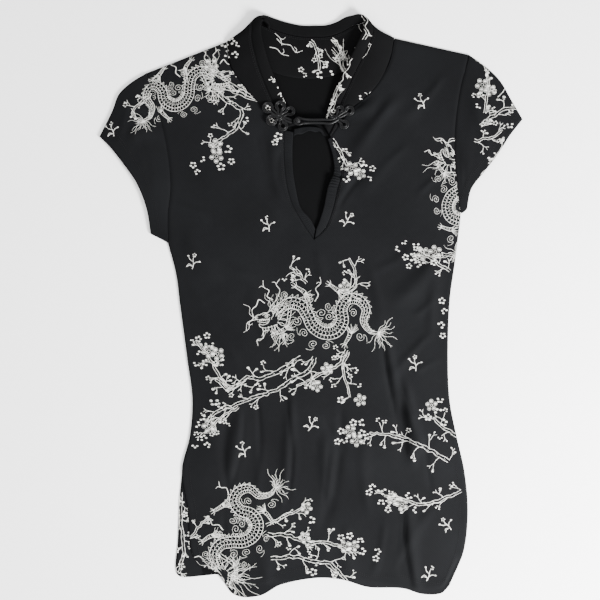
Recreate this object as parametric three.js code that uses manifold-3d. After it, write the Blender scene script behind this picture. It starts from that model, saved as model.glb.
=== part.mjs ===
// A mandarin collar top in printed knit, laid flat on its back with the front up.
// Millimetres. +Y runs up the garment to the collar and +Z up from the surface it lies on.
// Left and right are as seen from above, with x = 0 halfway between the sleeve tips.
import * as THREE from 'three';
import { mergeVertices } from 'three/addons/utils/BufferGeometryUtils.js';
import Module from 'manifold-3d';

const wasm = await Module();
wasm.setup();

// Driving dimensions
const CLOTH = 1.2;            // wall of the body and sleeve cloth
const COLLAR_CLOTH = 1.4;     // wall of the collar, which is two layers
const SEAM_GAP = 0.3;         // between the pieces at a seam
const NECK_GAP = 0.55;        // the same at the neckline, where the collar's wall tilts
const NECK_FOLD_GAP = 1.45;   // and where it folds over the shoulder seam
const ARMHOLE_GAP = 0.45;     // the same at the armholes, whose edges are cut in short straight steps
const BODY_LOFT = 1.4;        // how far the front bows up off the back
const ARMHOLE_LIFT = 1.0;     // and how far its armhole edge does, halfway up
const NECK_LIFT = 1.0;        // extra height where the collar folds over the shoulder seam
const SLEEVE_LOFT = 2.6;      // how far the top of a sleeve bows up off its underside
const BACK_NECK_DEPTH = 43;   // scoop of the back neckline below the shoulder points
const COLLAR_BAND_WIDTH = 13;
const BAND_GAP = 0.6;         // between the collar and its band, where they fold over the shoulder
const CORD_RADIUS = 1.5;      // the frog's satin cord
const CORD_SIDES = 8;
const CORD_HEIGHT = 6.3;      // centre of the cord where it lies on the cloth
const BUTTON_RADIUS = 4.2;

const LAYER_TWO = CLOTH + SEAM_GAP;   // the lowest place of what lies on the back

// Sections of the body from the hem to the shoulder. Each row gives the left seam, the left and
// right inner edges and the right seam. The inner edges are one line up to the keyhole's tip,
// then the keyhole's seams, then the neckline.
const BODY_SECTIONS = [
  { name: 'hem', lx: -129, ly: -299, ix: 4, iy: -313, jx: 4, jy: -313, rx: 159, ry: -322 },
  { name: 'vent corner', lx: -138, ly: -283, ix: 4, iy: -288, jx: 4, jy: -288, rx: 175, ry: -283 },
  { name: 'vent', lx: -142, ly: -235, ix: 4, iy: -238, jx: 4, jy: -238, rx: 180, ry: -238 },
  { name: 'vent top', lx: -149, ly: -189, ix: 4, iy: -190, jx: 4, jy: -190, rx: 176, ry: -190 },
  { name: 'hip', lx: -140, ly: -150, ix: 4, iy: -150, jx: 4, jy: -150, rx: 167, ry: -150 },
  { name: 'low waist', lx: -137, ly: -108, ix: 4, iy: -108, jx: 4, jy: -108, rx: 159, ry: -108 },
  { name: 'waist', lx: -143, ly: -60, ix: 4, iy: -60, jx: 4, jy: -60, rx: 157, ry: -60 },
  { name: 'high waist', lx: -151, ly: 0, ix: 4, iy: 0, jx: 4, jy: 0, rx: 159, ry: 5 },
  { name: 'rib', lx: -156, ly: 38, ix: 4, iy: 40, jx: 4, jy: 40, rx: 165, ry: 50 },
  { name: 'underarm', lx: -165, ly: 72, ix: 3, iy: 76, jx: 3, jy: 76, rx: 172, ry: 106 },
  { name: 'chest', lx: -165, ly: 108, ix: -10, iy: 95, jx: 16, jy: 90, rx: 167, ry: 145 },
  { name: 'high chest', lx: -162, ly: 135, ix: -22, iy: 117, jx: 24, jy: 110, rx: 165, ry: 172 },
  { name: 'keyhole middle', lx: -163, ly: 157, ix: -28, iy: 137, jx: 30, jy: 135, rx: 165, ry: 196 },
  { name: 'keyhole widest', lx: -166, ly: 180, ix: -31, iy: 160, jx: 34, jy: 152, rx: 167, ry: 222 },
  { name: 'keyhole upper', lx: -171, ly: 204, ix: -32, iy: 182, jx: 29, jy: 175, rx: 170, ry: 243 },
  { name: 'neck point', lx: -176, ly: 222, ix: -32, iy: 204, jx: 22, jy: 195, rx: 173, ry: 258 },
  { name: 'collar base', lx: -181, ly: 235, ix: -57, iy: 229, jx: 44, jy: 225, rx: 176, ry: 268 },
  { name: 'collar side', lx: -184, ly: 246, ix: -82, iy: 258, jx: 70, jy: 248, rx: 178, ry: 276 },
  { name: 'collar top', lx: -187, ly: 257, ix: -95, iy: 279, jx: 89, jy: 278, rx: 180, ry: 283 },
  { name: 'shoulder', lx: -190, ly: 268, ix: -98, iy: 304, jx: 96, jy: 308, rx: 181, ry: 289 },
];
const rowOf = (name) => BODY_SECTIONS.findIndex((row) => row.name === name);
const VENT_TOP = rowOf('vent top');
const UNDERARM = rowOf('underarm');
const NECK_POINT = rowOf('neck point');
const SHOULDER = rowOf('shoulder');

// The front's hem dips in two soft lobes.
const FRONT_HEM = [
  { x: -129, y: -299 },
  { x: -108, y: -308 },
  { x: -90, y: -332 },
  { x: -60, y: -334 },
  { x: -35, y: -321 },
  { x: 4, y: -313 },
  { x: 36, y: -315 },
  { x: 65, y: -324 },
  { x: 105, y: -325 },
  { x: 128, y: -332 },
  { x: 150, y: -331 },
  { x: 159, y: -322 },
];

// The back's lower edge, from the left vent round to the right one.
const BACK_HEM = [
  { x: -152, y: -217 },
  { x: -154, y: -269 },
  { x: -156, y: -306 },
  { x: -151, y: -312 },
  { x: -112, y: -308 },
  { x: -36, y: -311 },
  { x: 56, y: -311 },
  { x: 148, y: -318 },
  { x: 168, y: -283 },
  { x: 176, y: -238 },
];

// Main folds of the front: a soft ridge, or a trough where the rise is negative, from one point to
// another. The bend is how far its middle stands off the straight line, to the left of its run.
const FOLDS = [
  { name: 'long right fold, upper', x: 86, y: -36, toX: 108, toY: -118, bend: -3, width: 9, rise: 1.8 },
  { name: 'long right fold, lower', x: 108, y: -90, toX: 117, toY: -182, bend: 3, width: 8, rise: 2.6 },
  { name: 'hip ridge', x: 109, y: -117, toX: 127, toY: -166, bend: 2, width: 8, rise: 1.6 },
  { name: 'right hem fold', x: 112, y: -226, toX: 122, toY: -326, bend: -4, width: 9, rise: 2.2 },
  { name: 'middle fold', x: 15, y: -150, toX: 21, toY: -224, bend: 0, width: 9, rise: 1.3 },
  { name: 'left middle fold', x: -23, y: -104, toX: -32, toY: -228, bend: 2, width: 8, rise: 1.7 },
  { name: 'left hip fold', x: -82, y: -115, toX: -98, toY: -200, bend: 4, width: 10, rise: 1.5 },
  { name: 'keyhole valley', x: -60, y: 205, toX: -36, toY: 130, bend: -3, width: 12, rise: -1.1 },
  { name: 'left chest fold', x: -96, y: 158, toX: -32, toY: 95, bend: 4, width: 12, rise: 1.1 },
  { name: 'right chest fold', x: 99, y: 240, toX: 46, toY: 166, bend: -3, width: 11, rise: 1.5 },
  { name: 'right keyhole fold', x: 44, y: 158, toX: 20, toY: 100, bend: 3, width: 9, rise: 1.2 },
  { name: 'right armpit fold', x: 146, y: 66, toX: 96, toY: 4, bend: 6, width: 12, rise: 1.7 },
  { name: 'right side fold', x: 150, y: 60, toX: 138, toY: -34, bend: -3, width: 9, rise: 1.2 },
  { name: 'left armpit fold', x: -146, y: 84, toX: -104, toY: 30, bend: -5, width: 12, rise: 1.3 },
];

// Inner edge of each keyhole binding, across from the seam at the same section.
const KEYHOLE_EDGES = [
  { section: 'underarm', leftX: 4.6, leftY: 88, rightX: 5.6, rightY: 88 },
  { section: 'chest', leftX: -1, leftY: 99, rightX: 9, rightY: 97 },
  { section: 'high chest', leftX: -12.5, leftY: 113, rightX: 14, rightY: 113 },
  { section: 'keyhole middle', leftX: -18, leftY: 134, rightX: 19, rightY: 137 },
  { section: 'keyhole widest', leftX: -21.5, leftY: 157, rightX: 26, rightY: 155 },
  { section: 'keyhole upper', leftX: -22, leftY: 180, rightX: 24.5, rightY: 173 },
  { section: 'neck point', leftX: -21, leftY: 201, rightX: 18.5, rightY: 193 },
];

// The collar, from its left front end round the back to its right front end. Each row gives the
// place along the neckline and the upper edge. On the wings the place is a body section's number,
// and round the back it is an x on the back neckline.
const COLLAR_SECTIONS = [
  { part: 'left', at: 15, tx: -15, ty: 209, tz: 3.7 },
  { part: 'left', at: 15.5, tx: -22, ty: 219, tz: 3.8 },
  { part: 'left', at: 16, tx: -33, ty: 240, tz: 4.1 },
  { part: 'left', at: 16.5, tx: -41, ty: 258, tz: 5.8 },
  { part: 'left', at: 17, tx: -48, ty: 275, tz: 7.8 },
  { part: 'left', at: 17.6, tx: -54, ty: 294, tz: 9.0 },
  { part: 'left', at: 18.4, tx: -58, ty: 314, tz: 8.8 },
  { part: 'left', at: 18.8, tx: -60.5, ty: 326, tz: 8.0 },
  { part: 'left fold', at: 19, tx: -60.5, ty: 332, tz: 5.2 },
  { part: 'back', at: -92, tx: -56, ty: 334, tz: 2.8 },
  { part: 'back', at: -84, tx: -48, ty: 332, tz: 1.7 },
  { part: 'back', at: -72, tx: -38, ty: 329.5, tz: 1.2 },
  { part: 'back', at: -50, tx: -24, ty: 325.5, tz: 1.0 },
  { part: 'back', at: -25, tx: -10, ty: 323, tz: 1.0 },
  { part: 'back', at: 0, tx: 4, ty: 323, tz: 1.0 },
  { part: 'back', at: 25, tx: 17, ty: 323.5, tz: 1.0 },
  { part: 'back', at: 48, tx: 29, ty: 327, tz: 1.2 },
  { part: 'back', at: 70, tx: 39, ty: 332, tz: 1.7 },
  { part: 'back', at: 83, tx: 47, ty: 333.5, tz: 2.4 },
  { part: 'back', at: 91, tx: 55, ty: 334.5, tz: 3.6 },
  { part: 'right fold', at: 19, tx: 61, ty: 331.5, tz: 6.4 },
  { part: 'right', at: 18.8, tx: 61, ty: 326, tz: 9.4 },
  { part: 'right', at: 18.4, tx: 59, ty: 316, tz: 10.2 },
  { part: 'right', at: 17.6, tx: 51, ty: 297, tz: 10.4 },
  { part: 'right', at: 17, tx: 42, ty: 279, tz: 9.0 },
  { part: 'right', at: 16.5, tx: 34, ty: 262, tz: 6.4 },
  { part: 'right', at: 16, tx: 25, ty: 243, tz: 4.2 },
  { part: 'right', at: 15.5, tx: 18, ty: 222, tz: 3.8 },
  { part: 'right', at: 15, tx: 14, ty: 208, tz: 3.7 },
];

// The neck tab, from its left end to its right one: its upper and lower edges.
const TAB_SECTIONS = [
  { ux: -20.2, uy: 203.5, lx: -20.8, ly: 195 },
  { ux: -8, uy: 206, lx: -10, ly: 199 },
  { ux: 3, uy: 206, lx: 3, ly: 201 },
  { ux: 9.5, uy: 204.5, lx: 11.5, ly: 199 },
  { ux: 12.5, uy: 202.5, lx: 16.5, ly: 194 },
];

// Each sleeve's outline beyond its armhole seam. The upper and underarm edges run from the
// armhole's ends to the hem's, and the creases lie on the upper layer.
const SLEEVES = {
  left: {
    side: -1,
    upperEdge: [
      { x: -209, y: 256 },
      { x: -222, y: 243 },
      { x: -229, y: 225 },
    ],
    hem: [
      { x: -244, y: 195 },
      { x: -231, y: 182 },
      { x: -216, y: 163 },
      { x: -201, y: 141 },
      { x: -190, y: 113 },
      { x: -185, y: 83 },
    ],
    underarmEdge: [{ x: -175, y: 78 }],
    creases: [
      { along: 0.05, toAlong: 0.75, across: 0.52, toAcross: 0.34, width: 0.07, rise: 1.6 },
      { along: 0.2, toAlong: 0.9, across: 0.16, toAcross: 0.22, width: 0.06, rise: 0.8 },
      { along: 0.0, toAlong: 0.7, across: 0.78, toAcross: 0.7, width: 0.08, rise: 0.7 },
    ],
  },
  right: {
    side: 1,
    upperEdge: [
      { x: 202, y: 274 },
      { x: 217, y: 259 },
      { x: 230, y: 237 },
    ],
    hem: [
      { x: 243, y: 215 },
      { x: 228, y: 196 },
      { x: 215, y: 176 },
      { x: 200, y: 156 },
      { x: 184, y: 135 },
      { x: 179, y: 112 },
    ],
    underarmEdge: [{ x: 175, y: 108 }],
    creases: [
      { along: 0.25, toAlong: 1.0, across: 0.22, toAcross: 0.3, width: 0.07, rise: 1.0 },
      { along: 0.2, toAlong: 1.0, across: 0.45, toAcross: 0.5, width: 0.07, rise: 1.2 },
      { along: 0.0, toAlong: 0.7, across: 0.7, toAcross: 0.72, width: 0.08, rise: 0.7 },
    ],
  },
};

// Loops of the frog: each cord petal runs out from its centre and back.
const FLOWER = {
  centre: { x: -37, y: 217 },
  petals: [
    { x: -55.5, y: 229.5, width: 5.4 },
    { x: -35, y: 232.5, width: 8 },
    { x: -20, y: 226, width: 8.6 },
    { x: -50, y: 209, width: 9.4 },
    { x: -31, y: 201.5, width: 8.4 },
  ],
};
const TREFOIL = {
  centre: { x: 29, y: 215.5 },
  petals: [
    { x: 34.5, y: 230, width: 5.6 },
    { x: 48.5, y: 230, width: 6.2 },
    { x: 42.5, y: 202.5, width: 6.2 },
    { x: 20.5, y: 220.5, width: 3.4 },
  ],
};
const BUTTON = { x: -16, y: 211.6 };

const lerp = THREE.MathUtils.lerp;
const smooth = (t) => THREE.MathUtils.smoothstep(t, 0, 1);
const vector = (x, y, z = 0) => new THREE.Vector3(x, y, z);

// A smooth curve through points, read by the number of the point, with corners where they are named.
function cornered(points, corners = []) {
  const ends = [0, ...corners, points.length - 1];
  const pieces = ends.slice(1).map((end, i) => ({
    start: ends[i],
    end,
    curve: new THREE.CatmullRomCurve3(points.slice(ends[i], end + 1), false, 'centripetal'),
  }));
  return (number) => {
    const piece = pieces.find((one) => number <= one.end) ?? pieces.at(-1);
    return piece.curve.getPoint((number - piece.start) / (piece.end - piece.start));
  };
}

const column = (x, y) => BODY_SECTIONS.map((row) => vector(row[x], row[y]));
const SEAMS = {
  left: cornered(column('lx', 'ly'), [UNDERARM]),
  right: cornered(column('rx', 'ry'), [UNDERARM]),
};
const INNER_EDGES = {
  left: cornered(column('ix', 'iy'), [UNDERARM, NECK_POINT]),
  right: cornered(column('jx', 'jy'), [UNDERARM, NECK_POINT]),
};

// The value of a table's column at any x, on a smooth curve through its rows.
function lookUp(rows, x) {
  const last = rows.length - 2;
  const i = THREE.MathUtils.clamp(rows.findIndex((row) => row.x > x) - 1, 0, last);
  const [before, from, to, after] = [-1, 0, 1, 2].map((step) => rows[i + step] ?? rows[i + (step < 0 ? 0 : 1)]);
  const slope = (a, b) => (b.x === a.x ? 0 : (b.y - a.y) / (b.x - a.x));
  const span = to.x - from.x;
  const t = THREE.MathUtils.clamp((x - from.x) / span, 0, 1);
  const startSlope = slope(before, to) * span;
  const endSlope = slope(from, after) * span;
  const cubic = t * t * t;
  const square = t * t;
  return from.y * (2 * cubic - 3 * square + 1) + startSlope * (cubic - 2 * square + t)
    + to.y * (3 * square - 2 * cubic) + endSlope * (cubic - square);
}

// Height that the folds add at a place on the front.
function foldHeight(x, y) {
  return FOLDS.reduce((sum, fold) => {
    const run = vector(fold.toX - fold.x, fold.toY - fold.y);
    const length = run.length();
    const place = vector(x - fold.x, y - fold.y);
    const along = place.dot(run) / (length * length);
    const off = (run.x * place.y - run.y * place.x) / length - fold.bend * 4 * along * (1 - along);
    const fade = smooth((along + 0.12) / 0.35) * smooth((1.12 - along) / 0.35);
    return sum + fold.rise * fade * Math.exp(-((off / fold.width) ** 2));
  }, 0);
}

// Underside of the front over the back. Across is 0 at the seam and 1 at the inner edge.
function frontHeight(section, across, x, y) {
  const inFromSeam = smooth(across / 0.22);
  const belowShoulder = smooth((SHOULDER - section) / 3);
  const aboveHem = 0.35 + 0.65 * smooth(section / 2);
  const loft = BODY_LOFT * inFromSeam * belowShoulder * aboveHem;
  const upArmhole = THREE.MathUtils.clamp((section - UNDERARM) / (SHOULDER - UNDERARM), 0, 1);
  const armhole = ARMHOLE_LIFT * (1 - inFromSeam) * Math.sin(Math.PI * upArmhole);
  const neck = NECK_LIFT * across * across * smooth((section - NECK_POINT) / 3);
  const folds = foldHeight(x, y) * (0.15 + 0.85 * inFromSeam) * belowShoulder;
  return LAYER_TWO + Math.max(0, loft + armhole + neck + folds);
}

// A point of the front's plan on one side, with the hem's lobes faded out up the body.
function frontPlan(side, section, across) {
  const point = SEAMS[side](section).lerp(INNER_EDGES[side](section), across);
  const chord = lerp(SEAMS[side](0).y, INNER_EDGES[side](0).y, across);
  const above = point.y - chord;
  point.y += (lookUp(FRONT_HEM, point.x) - chord) * (1 - smooth(above / 70));
  return point;
}

// A closed wall from a surface of shared points and four-sided faces. The directions say which
// way its two skins lie off the middle. An edge that only one face uses gets a strip, split
// across by its place, so that the strips of two pieces at a seam lie alike.
function wall(points, faces, thickness, directions) {
  const positions = [];
  for (const half of [0.5, -0.5]) {
    points.forEach((point, i) => {
      positions.push(...point.clone().addScaledVector(directions[i], half * thickness).toArray());
    });
  }
  const under = points.length;
  const triangles = [];
  const borders = new Map();
  for (const [a, b, c, d] of faces) {
    triangles.push(a, b, c, a, c, d);
    triangles.push(under + a, under + c, under + b, under + a, under + d, under + c);
    for (const [from, to] of [[a, b], [b, c], [c, d], [d, a]]) {
      if (!borders.delete(`${to},${from}`)) borders.set(`${from},${to}`, [from, to]);
    }
  }
  for (const [from, to] of borders.values()) {
    const upward = points[from].x + points[from].y < points[to].x + points[to].y;
    if (upward) triangles.push(to, from, under + to, from, under + from, under + to);
    else triangles.push(to, from, under + from, to, under + from, under + to);
  }
  const geometry = new THREE.BufferGeometry();
  geometry.setAttribute('position', new THREE.Float32BufferAttribute(positions, 3));
  geometry.setIndex(triangles);
  return geometry;
}

// The faces of a grid of points, kept row by row, seen from the side that they face.
function gridFaces(rows, columns, first = 0, closed = false) {
  const faces = [];
  const lastColumn = closed ? columns : columns - 1;
  for (let row = 0; row < rows - 1; row += 1) {
    for (let i = 0; i < lastColumn; i += 1) {
      const next = (i + 1) % columns;
      const here = first + row * columns;
      faces.push([here + i, here + next, here + columns + next, here + columns + i]);
    }
  }
  return faces;
}

// The way each point of a surface faces, from the faces round it.
function facing(points, faces) {
  const directions = points.map(() => vector(0, 0));
  for (const [a, b, c, d] of faces) {
    const one = points[c].clone().sub(points[a]);
    const other = points[d].clone().sub(points[b]);
    const normal = one.cross(other);
    for (const corner of [a, b, c, d]) directions[corner].add(normal);
  }
  return directions.map((direction) => direction.normalize());
}

const COLOURS = { cloth: 0x242527, band: 0x202124, cord: 0x17181a };

function piece(name, geometry, colour, roughness) {
  const material = new THREE.MeshStandardMaterial({ color: colour, roughness, metalness: 0 });
  const mesh = new THREE.Mesh(geometry, material);
  mesh.name = name;
  return mesh;
}

// The front: two halves on one set of points, joined down the centre line below the keyhole.
function frontPanel() {
  const columns = 12;
  const sections = [];
  for (let row = 0; row < SHOULDER; row += 1) {
    const length = SEAMS.left(row).distanceTo(SEAMS.left(row + 1));
    const steps = Math.max(2, Math.round(length / 15));
    for (let i = 0; i < steps; i += 1) sections.push(row + i / steps);
  }
  sections.push(SHOULDER);

  const points = [];
  const faces = [];
  const shared = new Map();
  const numberOf = (side, row, i) => {
    const section = sections[row];
    const key = i === columns && section <= UNDERARM ? `centre ${row}` : `${side} ${row} ${i}`;
    if (!shared.has(key)) {
      const place = frontPlan(side, section, i / columns);
      place.z = frontHeight(section, i / columns, place.x, place.y) + CLOTH / 2;
      shared.set(key, points.push(place) - 1);
    }
    return shared.get(key);
  };
  for (const side of ['left', 'right']) {
    for (let row = 0; row < sections.length - 1; row += 1) {
      for (let i = 0; i < columns; i += 1) {
        const corners = [[row, i], [row, i + 1], [row + 1, i + 1], [row + 1, i]];
        const face = corners.map(([r, c]) => numberOf(side, r, c));
        faces.push(side === 'left' ? face : face.reverse());
      }
    }
  }
  return wall(points, faces, CLOTH, points.map(() => vector(0, 0, 1)));
}

const backNeckY = (x) => lerp(304, 308, (x + 98) / 194) - BACK_NECK_DEPTH * (1 - ((x + 1) / 97) ** 2);

// The back lies flat on the surface: its outline, cut from a sheet.
function backPanel() {
  const outline = [];
  const add = (point) => outline.push(new THREE.Vector2(point.x, point.y));
  const steps = 2;
  for (let i = (SHOULDER - VENT_TOP) * steps; i >= 0; i -= 1) add(SEAMS.left(VENT_TOP + i / steps));
  const hem = new THREE.CatmullRomCurve3(BACK_HEM.map((row) => vector(row.x, row.y)), false, 'centripetal');
  hem.getPoints(30).forEach(add);
  for (let i = 0; i <= (SHOULDER - VENT_TOP) * steps; i += 1) add(SEAMS.right(VENT_TOP + i / steps));
  const neckSteps = 24;
  for (let i = 0; i <= neckSteps; i += 1) {
    const x = lerp(BODY_SECTIONS[SHOULDER].jx, BODY_SECTIONS[SHOULDER].ix, i / neckSteps);
    add(vector(x, backNeckY(x)));
  }
  return new THREE.ExtrudeGeometry(new THREE.Shape(outline), { depth: CLOTH, bevelEnabled: false });
}

// A sleeve: a flattened tube of rings from the armhole to the hem, its lower layer flat.
function sleeve(sideName) {
  const { side, upperEdge, hem, underarmEdge, creases } = SLEEVES[sideName];
  const armhole = (across) => {
    const section = lerp(SHOULDER, UNDERARM + 0.02, across);
    const run = SEAMS[sideName](section + 0.01).sub(SEAMS[sideName](section - 0.01)).normalize();
    return SEAMS[sideName](section).addScaledVector(vector(side * run.y, -side * run.x), ARMHOLE_GAP);
  };
  const smoothLine = (points) => new THREE.CatmullRomCurve3(points, false, 'centripetal');
  const placed = (rows) => rows.map((row) => vector(row.x, row.y));
  const hemLine = smoothLine(placed(hem));
  const upperLine = smoothLine([armhole(0), ...placed(upperEdge), hemLine.getPoint(0)]);
  const underarmLine = smoothLine([armhole(1), ...placed(underarmEdge), hemLine.getPoint(1)]);
  const plan = (across, along) => {
    const ruled = armhole(across).lerp(hemLine.getPoint(across), along);
    const sides = upperLine.getPoint(along).lerp(underarmLine.getPoint(along), across);
    const armholeChord = armhole(0).lerp(armhole(1), across);
    const hemChord = hemLine.getPoint(0).lerp(hemLine.getPoint(1), across);
    return ruled.add(sides).sub(armholeChord.lerp(hemChord, along));
  };
  const creaseHeight = (across, along) => creases.reduce((sum, crease) => {
    const t = (along - crease.along) / (crease.toAlong - crease.along);
    const off = across - lerp(crease.across, crease.toAcross, t);
    const fade = smooth((t + 0.15) / 0.4) * smooth((1.15 - t) / 0.4);
    return sum + crease.rise * fade * Math.exp(-((off / crease.width) ** 2));
  }, 0);

  // Middle of the wall: the lower layer lies flat and the upper one clears it by the seam gap.
  const lower = CLOTH / 2;
  const upperAt = (across, along) => {
    const bow = Math.sin(Math.PI * across) ** 0.8;
    const loft = lerp(ARMHOLE_LIFT, SLEEVE_LOFT, smooth(along * 2.2)) * bow;
    const fromHem = lerp(1, 0.7, smooth((along - 0.75) / 0.25));
    return LAYER_TWO + CLOTH / 2 + fromHem * loft + creaseHeight(across, along) * bow;
  };
  const rings = 7;
  const layerSteps = 20;
  const turnSteps = 3;
  const points = [];
  let columns = 0;
  for (let ring = 0; ring <= rings; ring += 1) {
    const along = ring / rings;
    const turn = (LAYER_TWO + CLOTH / 2 - lower) / 2;
    const inward = plan(0.02, along).sub(plan(0, along)).normalize();
    const outward = plan(0.98, along).sub(plan(1, along)).normalize();
    const inset = turn + CLOTH / 2;
    const width = plan(0, along).distanceTo(plan(1, along));
    const fromEdge = (across) => lerp(inset / width, 1 - inset / width, across);
    const start = points.length;
    for (let i = 0; i <= layerSteps; i += 1) {
      const across = fromEdge(1 - i / layerSteps);
      points.push(plan(across, along).setZ(lower));
    }
    for (let i = 1; i < turnSteps; i += 1) {
      const angle = Math.PI * (i / turnSteps);
      const middle = plan(0, along).addScaledVector(inward, inset - turn * Math.sin(angle));
      points.push(middle.setZ(lower + turn * (1 - Math.cos(angle))));
    }
    for (let i = 0; i <= layerSteps; i += 1) {
      const across = fromEdge(i / layerSteps);
      points.push(plan(across, along).setZ(upperAt(i / layerSteps, along)));
    }
    for (let i = 1; i < turnSteps; i += 1) {
      const angle = Math.PI * (i / turnSteps);
      const middle = plan(1, along).addScaledVector(outward, inset - turn * Math.sin(angle));
      points.push(middle.setZ(lower + turn * (1 + Math.cos(angle))));
    }
    columns = points.length - start;
  }
  let faces = gridFaces(rings + 1, columns, 0, true);
  if (side < 0) faces = faces.map((face) => face.reverse());
  return wall(points, faces, CLOTH, facing(points, faces));
}

// The collar's middle surface: up is 0 at the neckline and 1 at the upper edge.
function collarSurface() {
  const lowerEdge = COLLAR_SECTIONS.map(({ part, at }) => {
    if (part === 'back') {
      const slope = (backNeckY(at + 1) - backNeckY(at - 1)) / 2;
      const inward = vector(-slope, 1).normalize();
      return vector(at, backNeckY(at), COLLAR_CLOTH / 2).addScaledVector(inward, NECK_GAP);
    }
    const side = part.split(' ')[0];
    const edge = INNER_EDGES[side];
    const height = frontHeight(at, 1, edge(at).x, edge(at).y) + CLOTH / 2;
    const sign = side === 'left' ? 1 : -1;
    if (part.endsWith('fold')) {
      const inward = vector(sign * 0.85, 0.53);
      return edge(at).addScaledVector(inward, NECK_FOLD_GAP * 1.16).setZ(lerp(COLLAR_CLOTH / 2, height, 0.5));
    }
    const run = edge(at + 0.02).sub(edge(at - 0.02)).normalize();
    const inward = vector(sign * run.y, -sign * run.x);
    const towardsFold = smooth((at - rowOf('collar side')) / 2);
    return edge(at).addScaledVector(inward, lerp(NECK_GAP, NECK_FOLD_GAP, towardsFold)).setZ(height);
  });
  const upperEdge = COLLAR_SECTIONS.map((row) => vector(row.tx, row.ty, row.tz));
  const lowerCurve = new THREE.CatmullRomCurve3(lowerEdge, false, 'centripetal');
  const upperCurve = new THREE.CatmullRomCurve3(upperEdge, false, 'centripetal');
  const width = (place) => lowerCurve.getPoint(place).distanceTo(upperCurve.getPoint(place));
  const point = (place, up) => {
    const middle = lowerCurve.getPoint(place).lerp(upperCurve.getPoint(place), up);
    return middle.setZ(Math.max(middle.z, COLLAR_CLOTH / 2));
  };
  const facing = (place, up) => {
    const along = point(Math.min(place + 0.004, 1), up).sub(point(Math.max(place - 0.004, 0), up));
    return point(place, 1).sub(point(place, 0)).cross(along).normalize();
  };
  return { width, point, facing };
}
const COLLAR = collarSurface();

// A strip of the collar between two heights, given as functions of the place along it.
function collarStrip(from, to, columns) {
  const last = COLLAR_SECTIONS.length - 1;
  const places = [];
  for (let row = 0; row < last; row += 1) {
    const folds = COLLAR_SECTIONS.slice(row, row + 2).some(({ part }) => part.endsWith('fold'));
    const steps = folds ? 5 : 2;
    for (let i = 0; i < steps; i += 1) places.push((row + i / steps) / last);
  }
  places.push(1);
  const points = [];
  const directions = [];
  for (const place of places) {
    for (let column = 0; column <= columns; column += 1) {
      const up = lerp(from(place), to(place), column / columns);
      points.push(COLLAR.point(place, up));
      directions.push(COLLAR.facing(place, up));
    }
  }
  return wall(points, gridFaces(places.length, columns + 1), COLLAR_CLOTH, directions);
}
const bandSeam = (place) => 1 - COLLAR_BAND_WIDTH / COLLAR.width(place);
const collarStand = () => collarStrip(() => 0, bandSeam, 4);
const bandStart = (place) => bandSeam(place) + BAND_GAP / COLLAR.width(place);
const collarBand = () => collarStrip(bandStart, () => 1, 2);

// A keyhole binding: from the keyhole's seam to its open edge, ending short of the collar.
function keyholeBand(sideName) {
  const edgeRows = KEYHOLE_EDGES.map((row) => vector(row[`${sideName}X`], row[`${sideName}Y`]));
  const openEdge = cornered(edgeRows);
  const steps = 18;
  const columns = 2;
  const trim = 0.06;
  const points = [];
  for (let i = 0; i <= steps; i += 1) {
    const section = lerp(UNDERARM + trim, NECK_POINT - trim, i / steps);
    const seam = INNER_EDGES[sideName](section);
    const open = openEdge(section - UNDERARM);
    const gap = SEAM_GAP / seam.distanceTo(open);
    for (let column = 0; column <= columns; column += 1) {
      const place = seam.clone().lerp(open, lerp(gap * 1.3, 1, column / columns));
      points.push(place.setZ(frontHeight(section, 1, seam.x, seam.y) + CLOTH / 2));
    }
  }
  let faces = gridFaces(steps + 1, columns + 1);
  if (sideName === 'right') faces = faces.map((face) => face.reverse());
  return wall(points, faces, CLOTH, points.map(() => vector(0, 0, 1)));
}

// The tab bows up a little between the bindings that hold its ends.
function neckTab() {
  const upper = new THREE.CatmullRomCurve3(TAB_SECTIONS.map((row) => vector(row.ux, row.uy)));
  const lower = new THREE.CatmullRomCurve3(TAB_SECTIONS.map((row) => vector(row.lx, row.ly)));
  const steps = 10;
  const columns = 2;
  const points = [];
  for (let i = 0; i <= steps; i += 1) {
    for (let column = 0; column <= columns; column += 1) {
      const place = lower.getPoint(i / steps).lerp(upper.getPoint(i / steps), column / columns);
      points.push(place.setZ(LAYER_TWO + BODY_LOFT - 0.6 + CLOTH / 2));
    }
  }
  const faces = gridFaces(steps + 1, columns + 1).map((face) => face.reverse());
  return wall(points, faces, CLOTH, points.map(() => vector(0, 0, 1)));
}

// A three.js geometry as a solid, and back.
function solid(geometry) {
  const bare = geometry.clone();
  bare.deleteAttribute('normal');
  bare.deleteAttribute('uv');
  const merged = mergeVertices(bare, 1e-4);
  return new wasm.Manifold(new wasm.Mesh({
    numProp: 3,
    vertProperties: new Float32Array(merged.attributes.position.array),
    triVerts: new Uint32Array(merged.index.array),
  }));
}

// Solids made into one. Slivers that the cut cords leave inside each other are dropped.
function joined(geometries) {
  const bodies = geometries.map(solid).reduce((all, one) => all.add(one)).decompose();
  const result = bodies.sort((a, b) => b.volume() - a.volume())[0].getMesh();
  const geometry = new THREE.BufferGeometry();
  geometry.setAttribute('position', new THREE.BufferAttribute(result.vertProperties, 3));
  geometry.setIndex(new THREE.BufferAttribute(result.triVerts, 1));
  return geometry;
}

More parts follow.
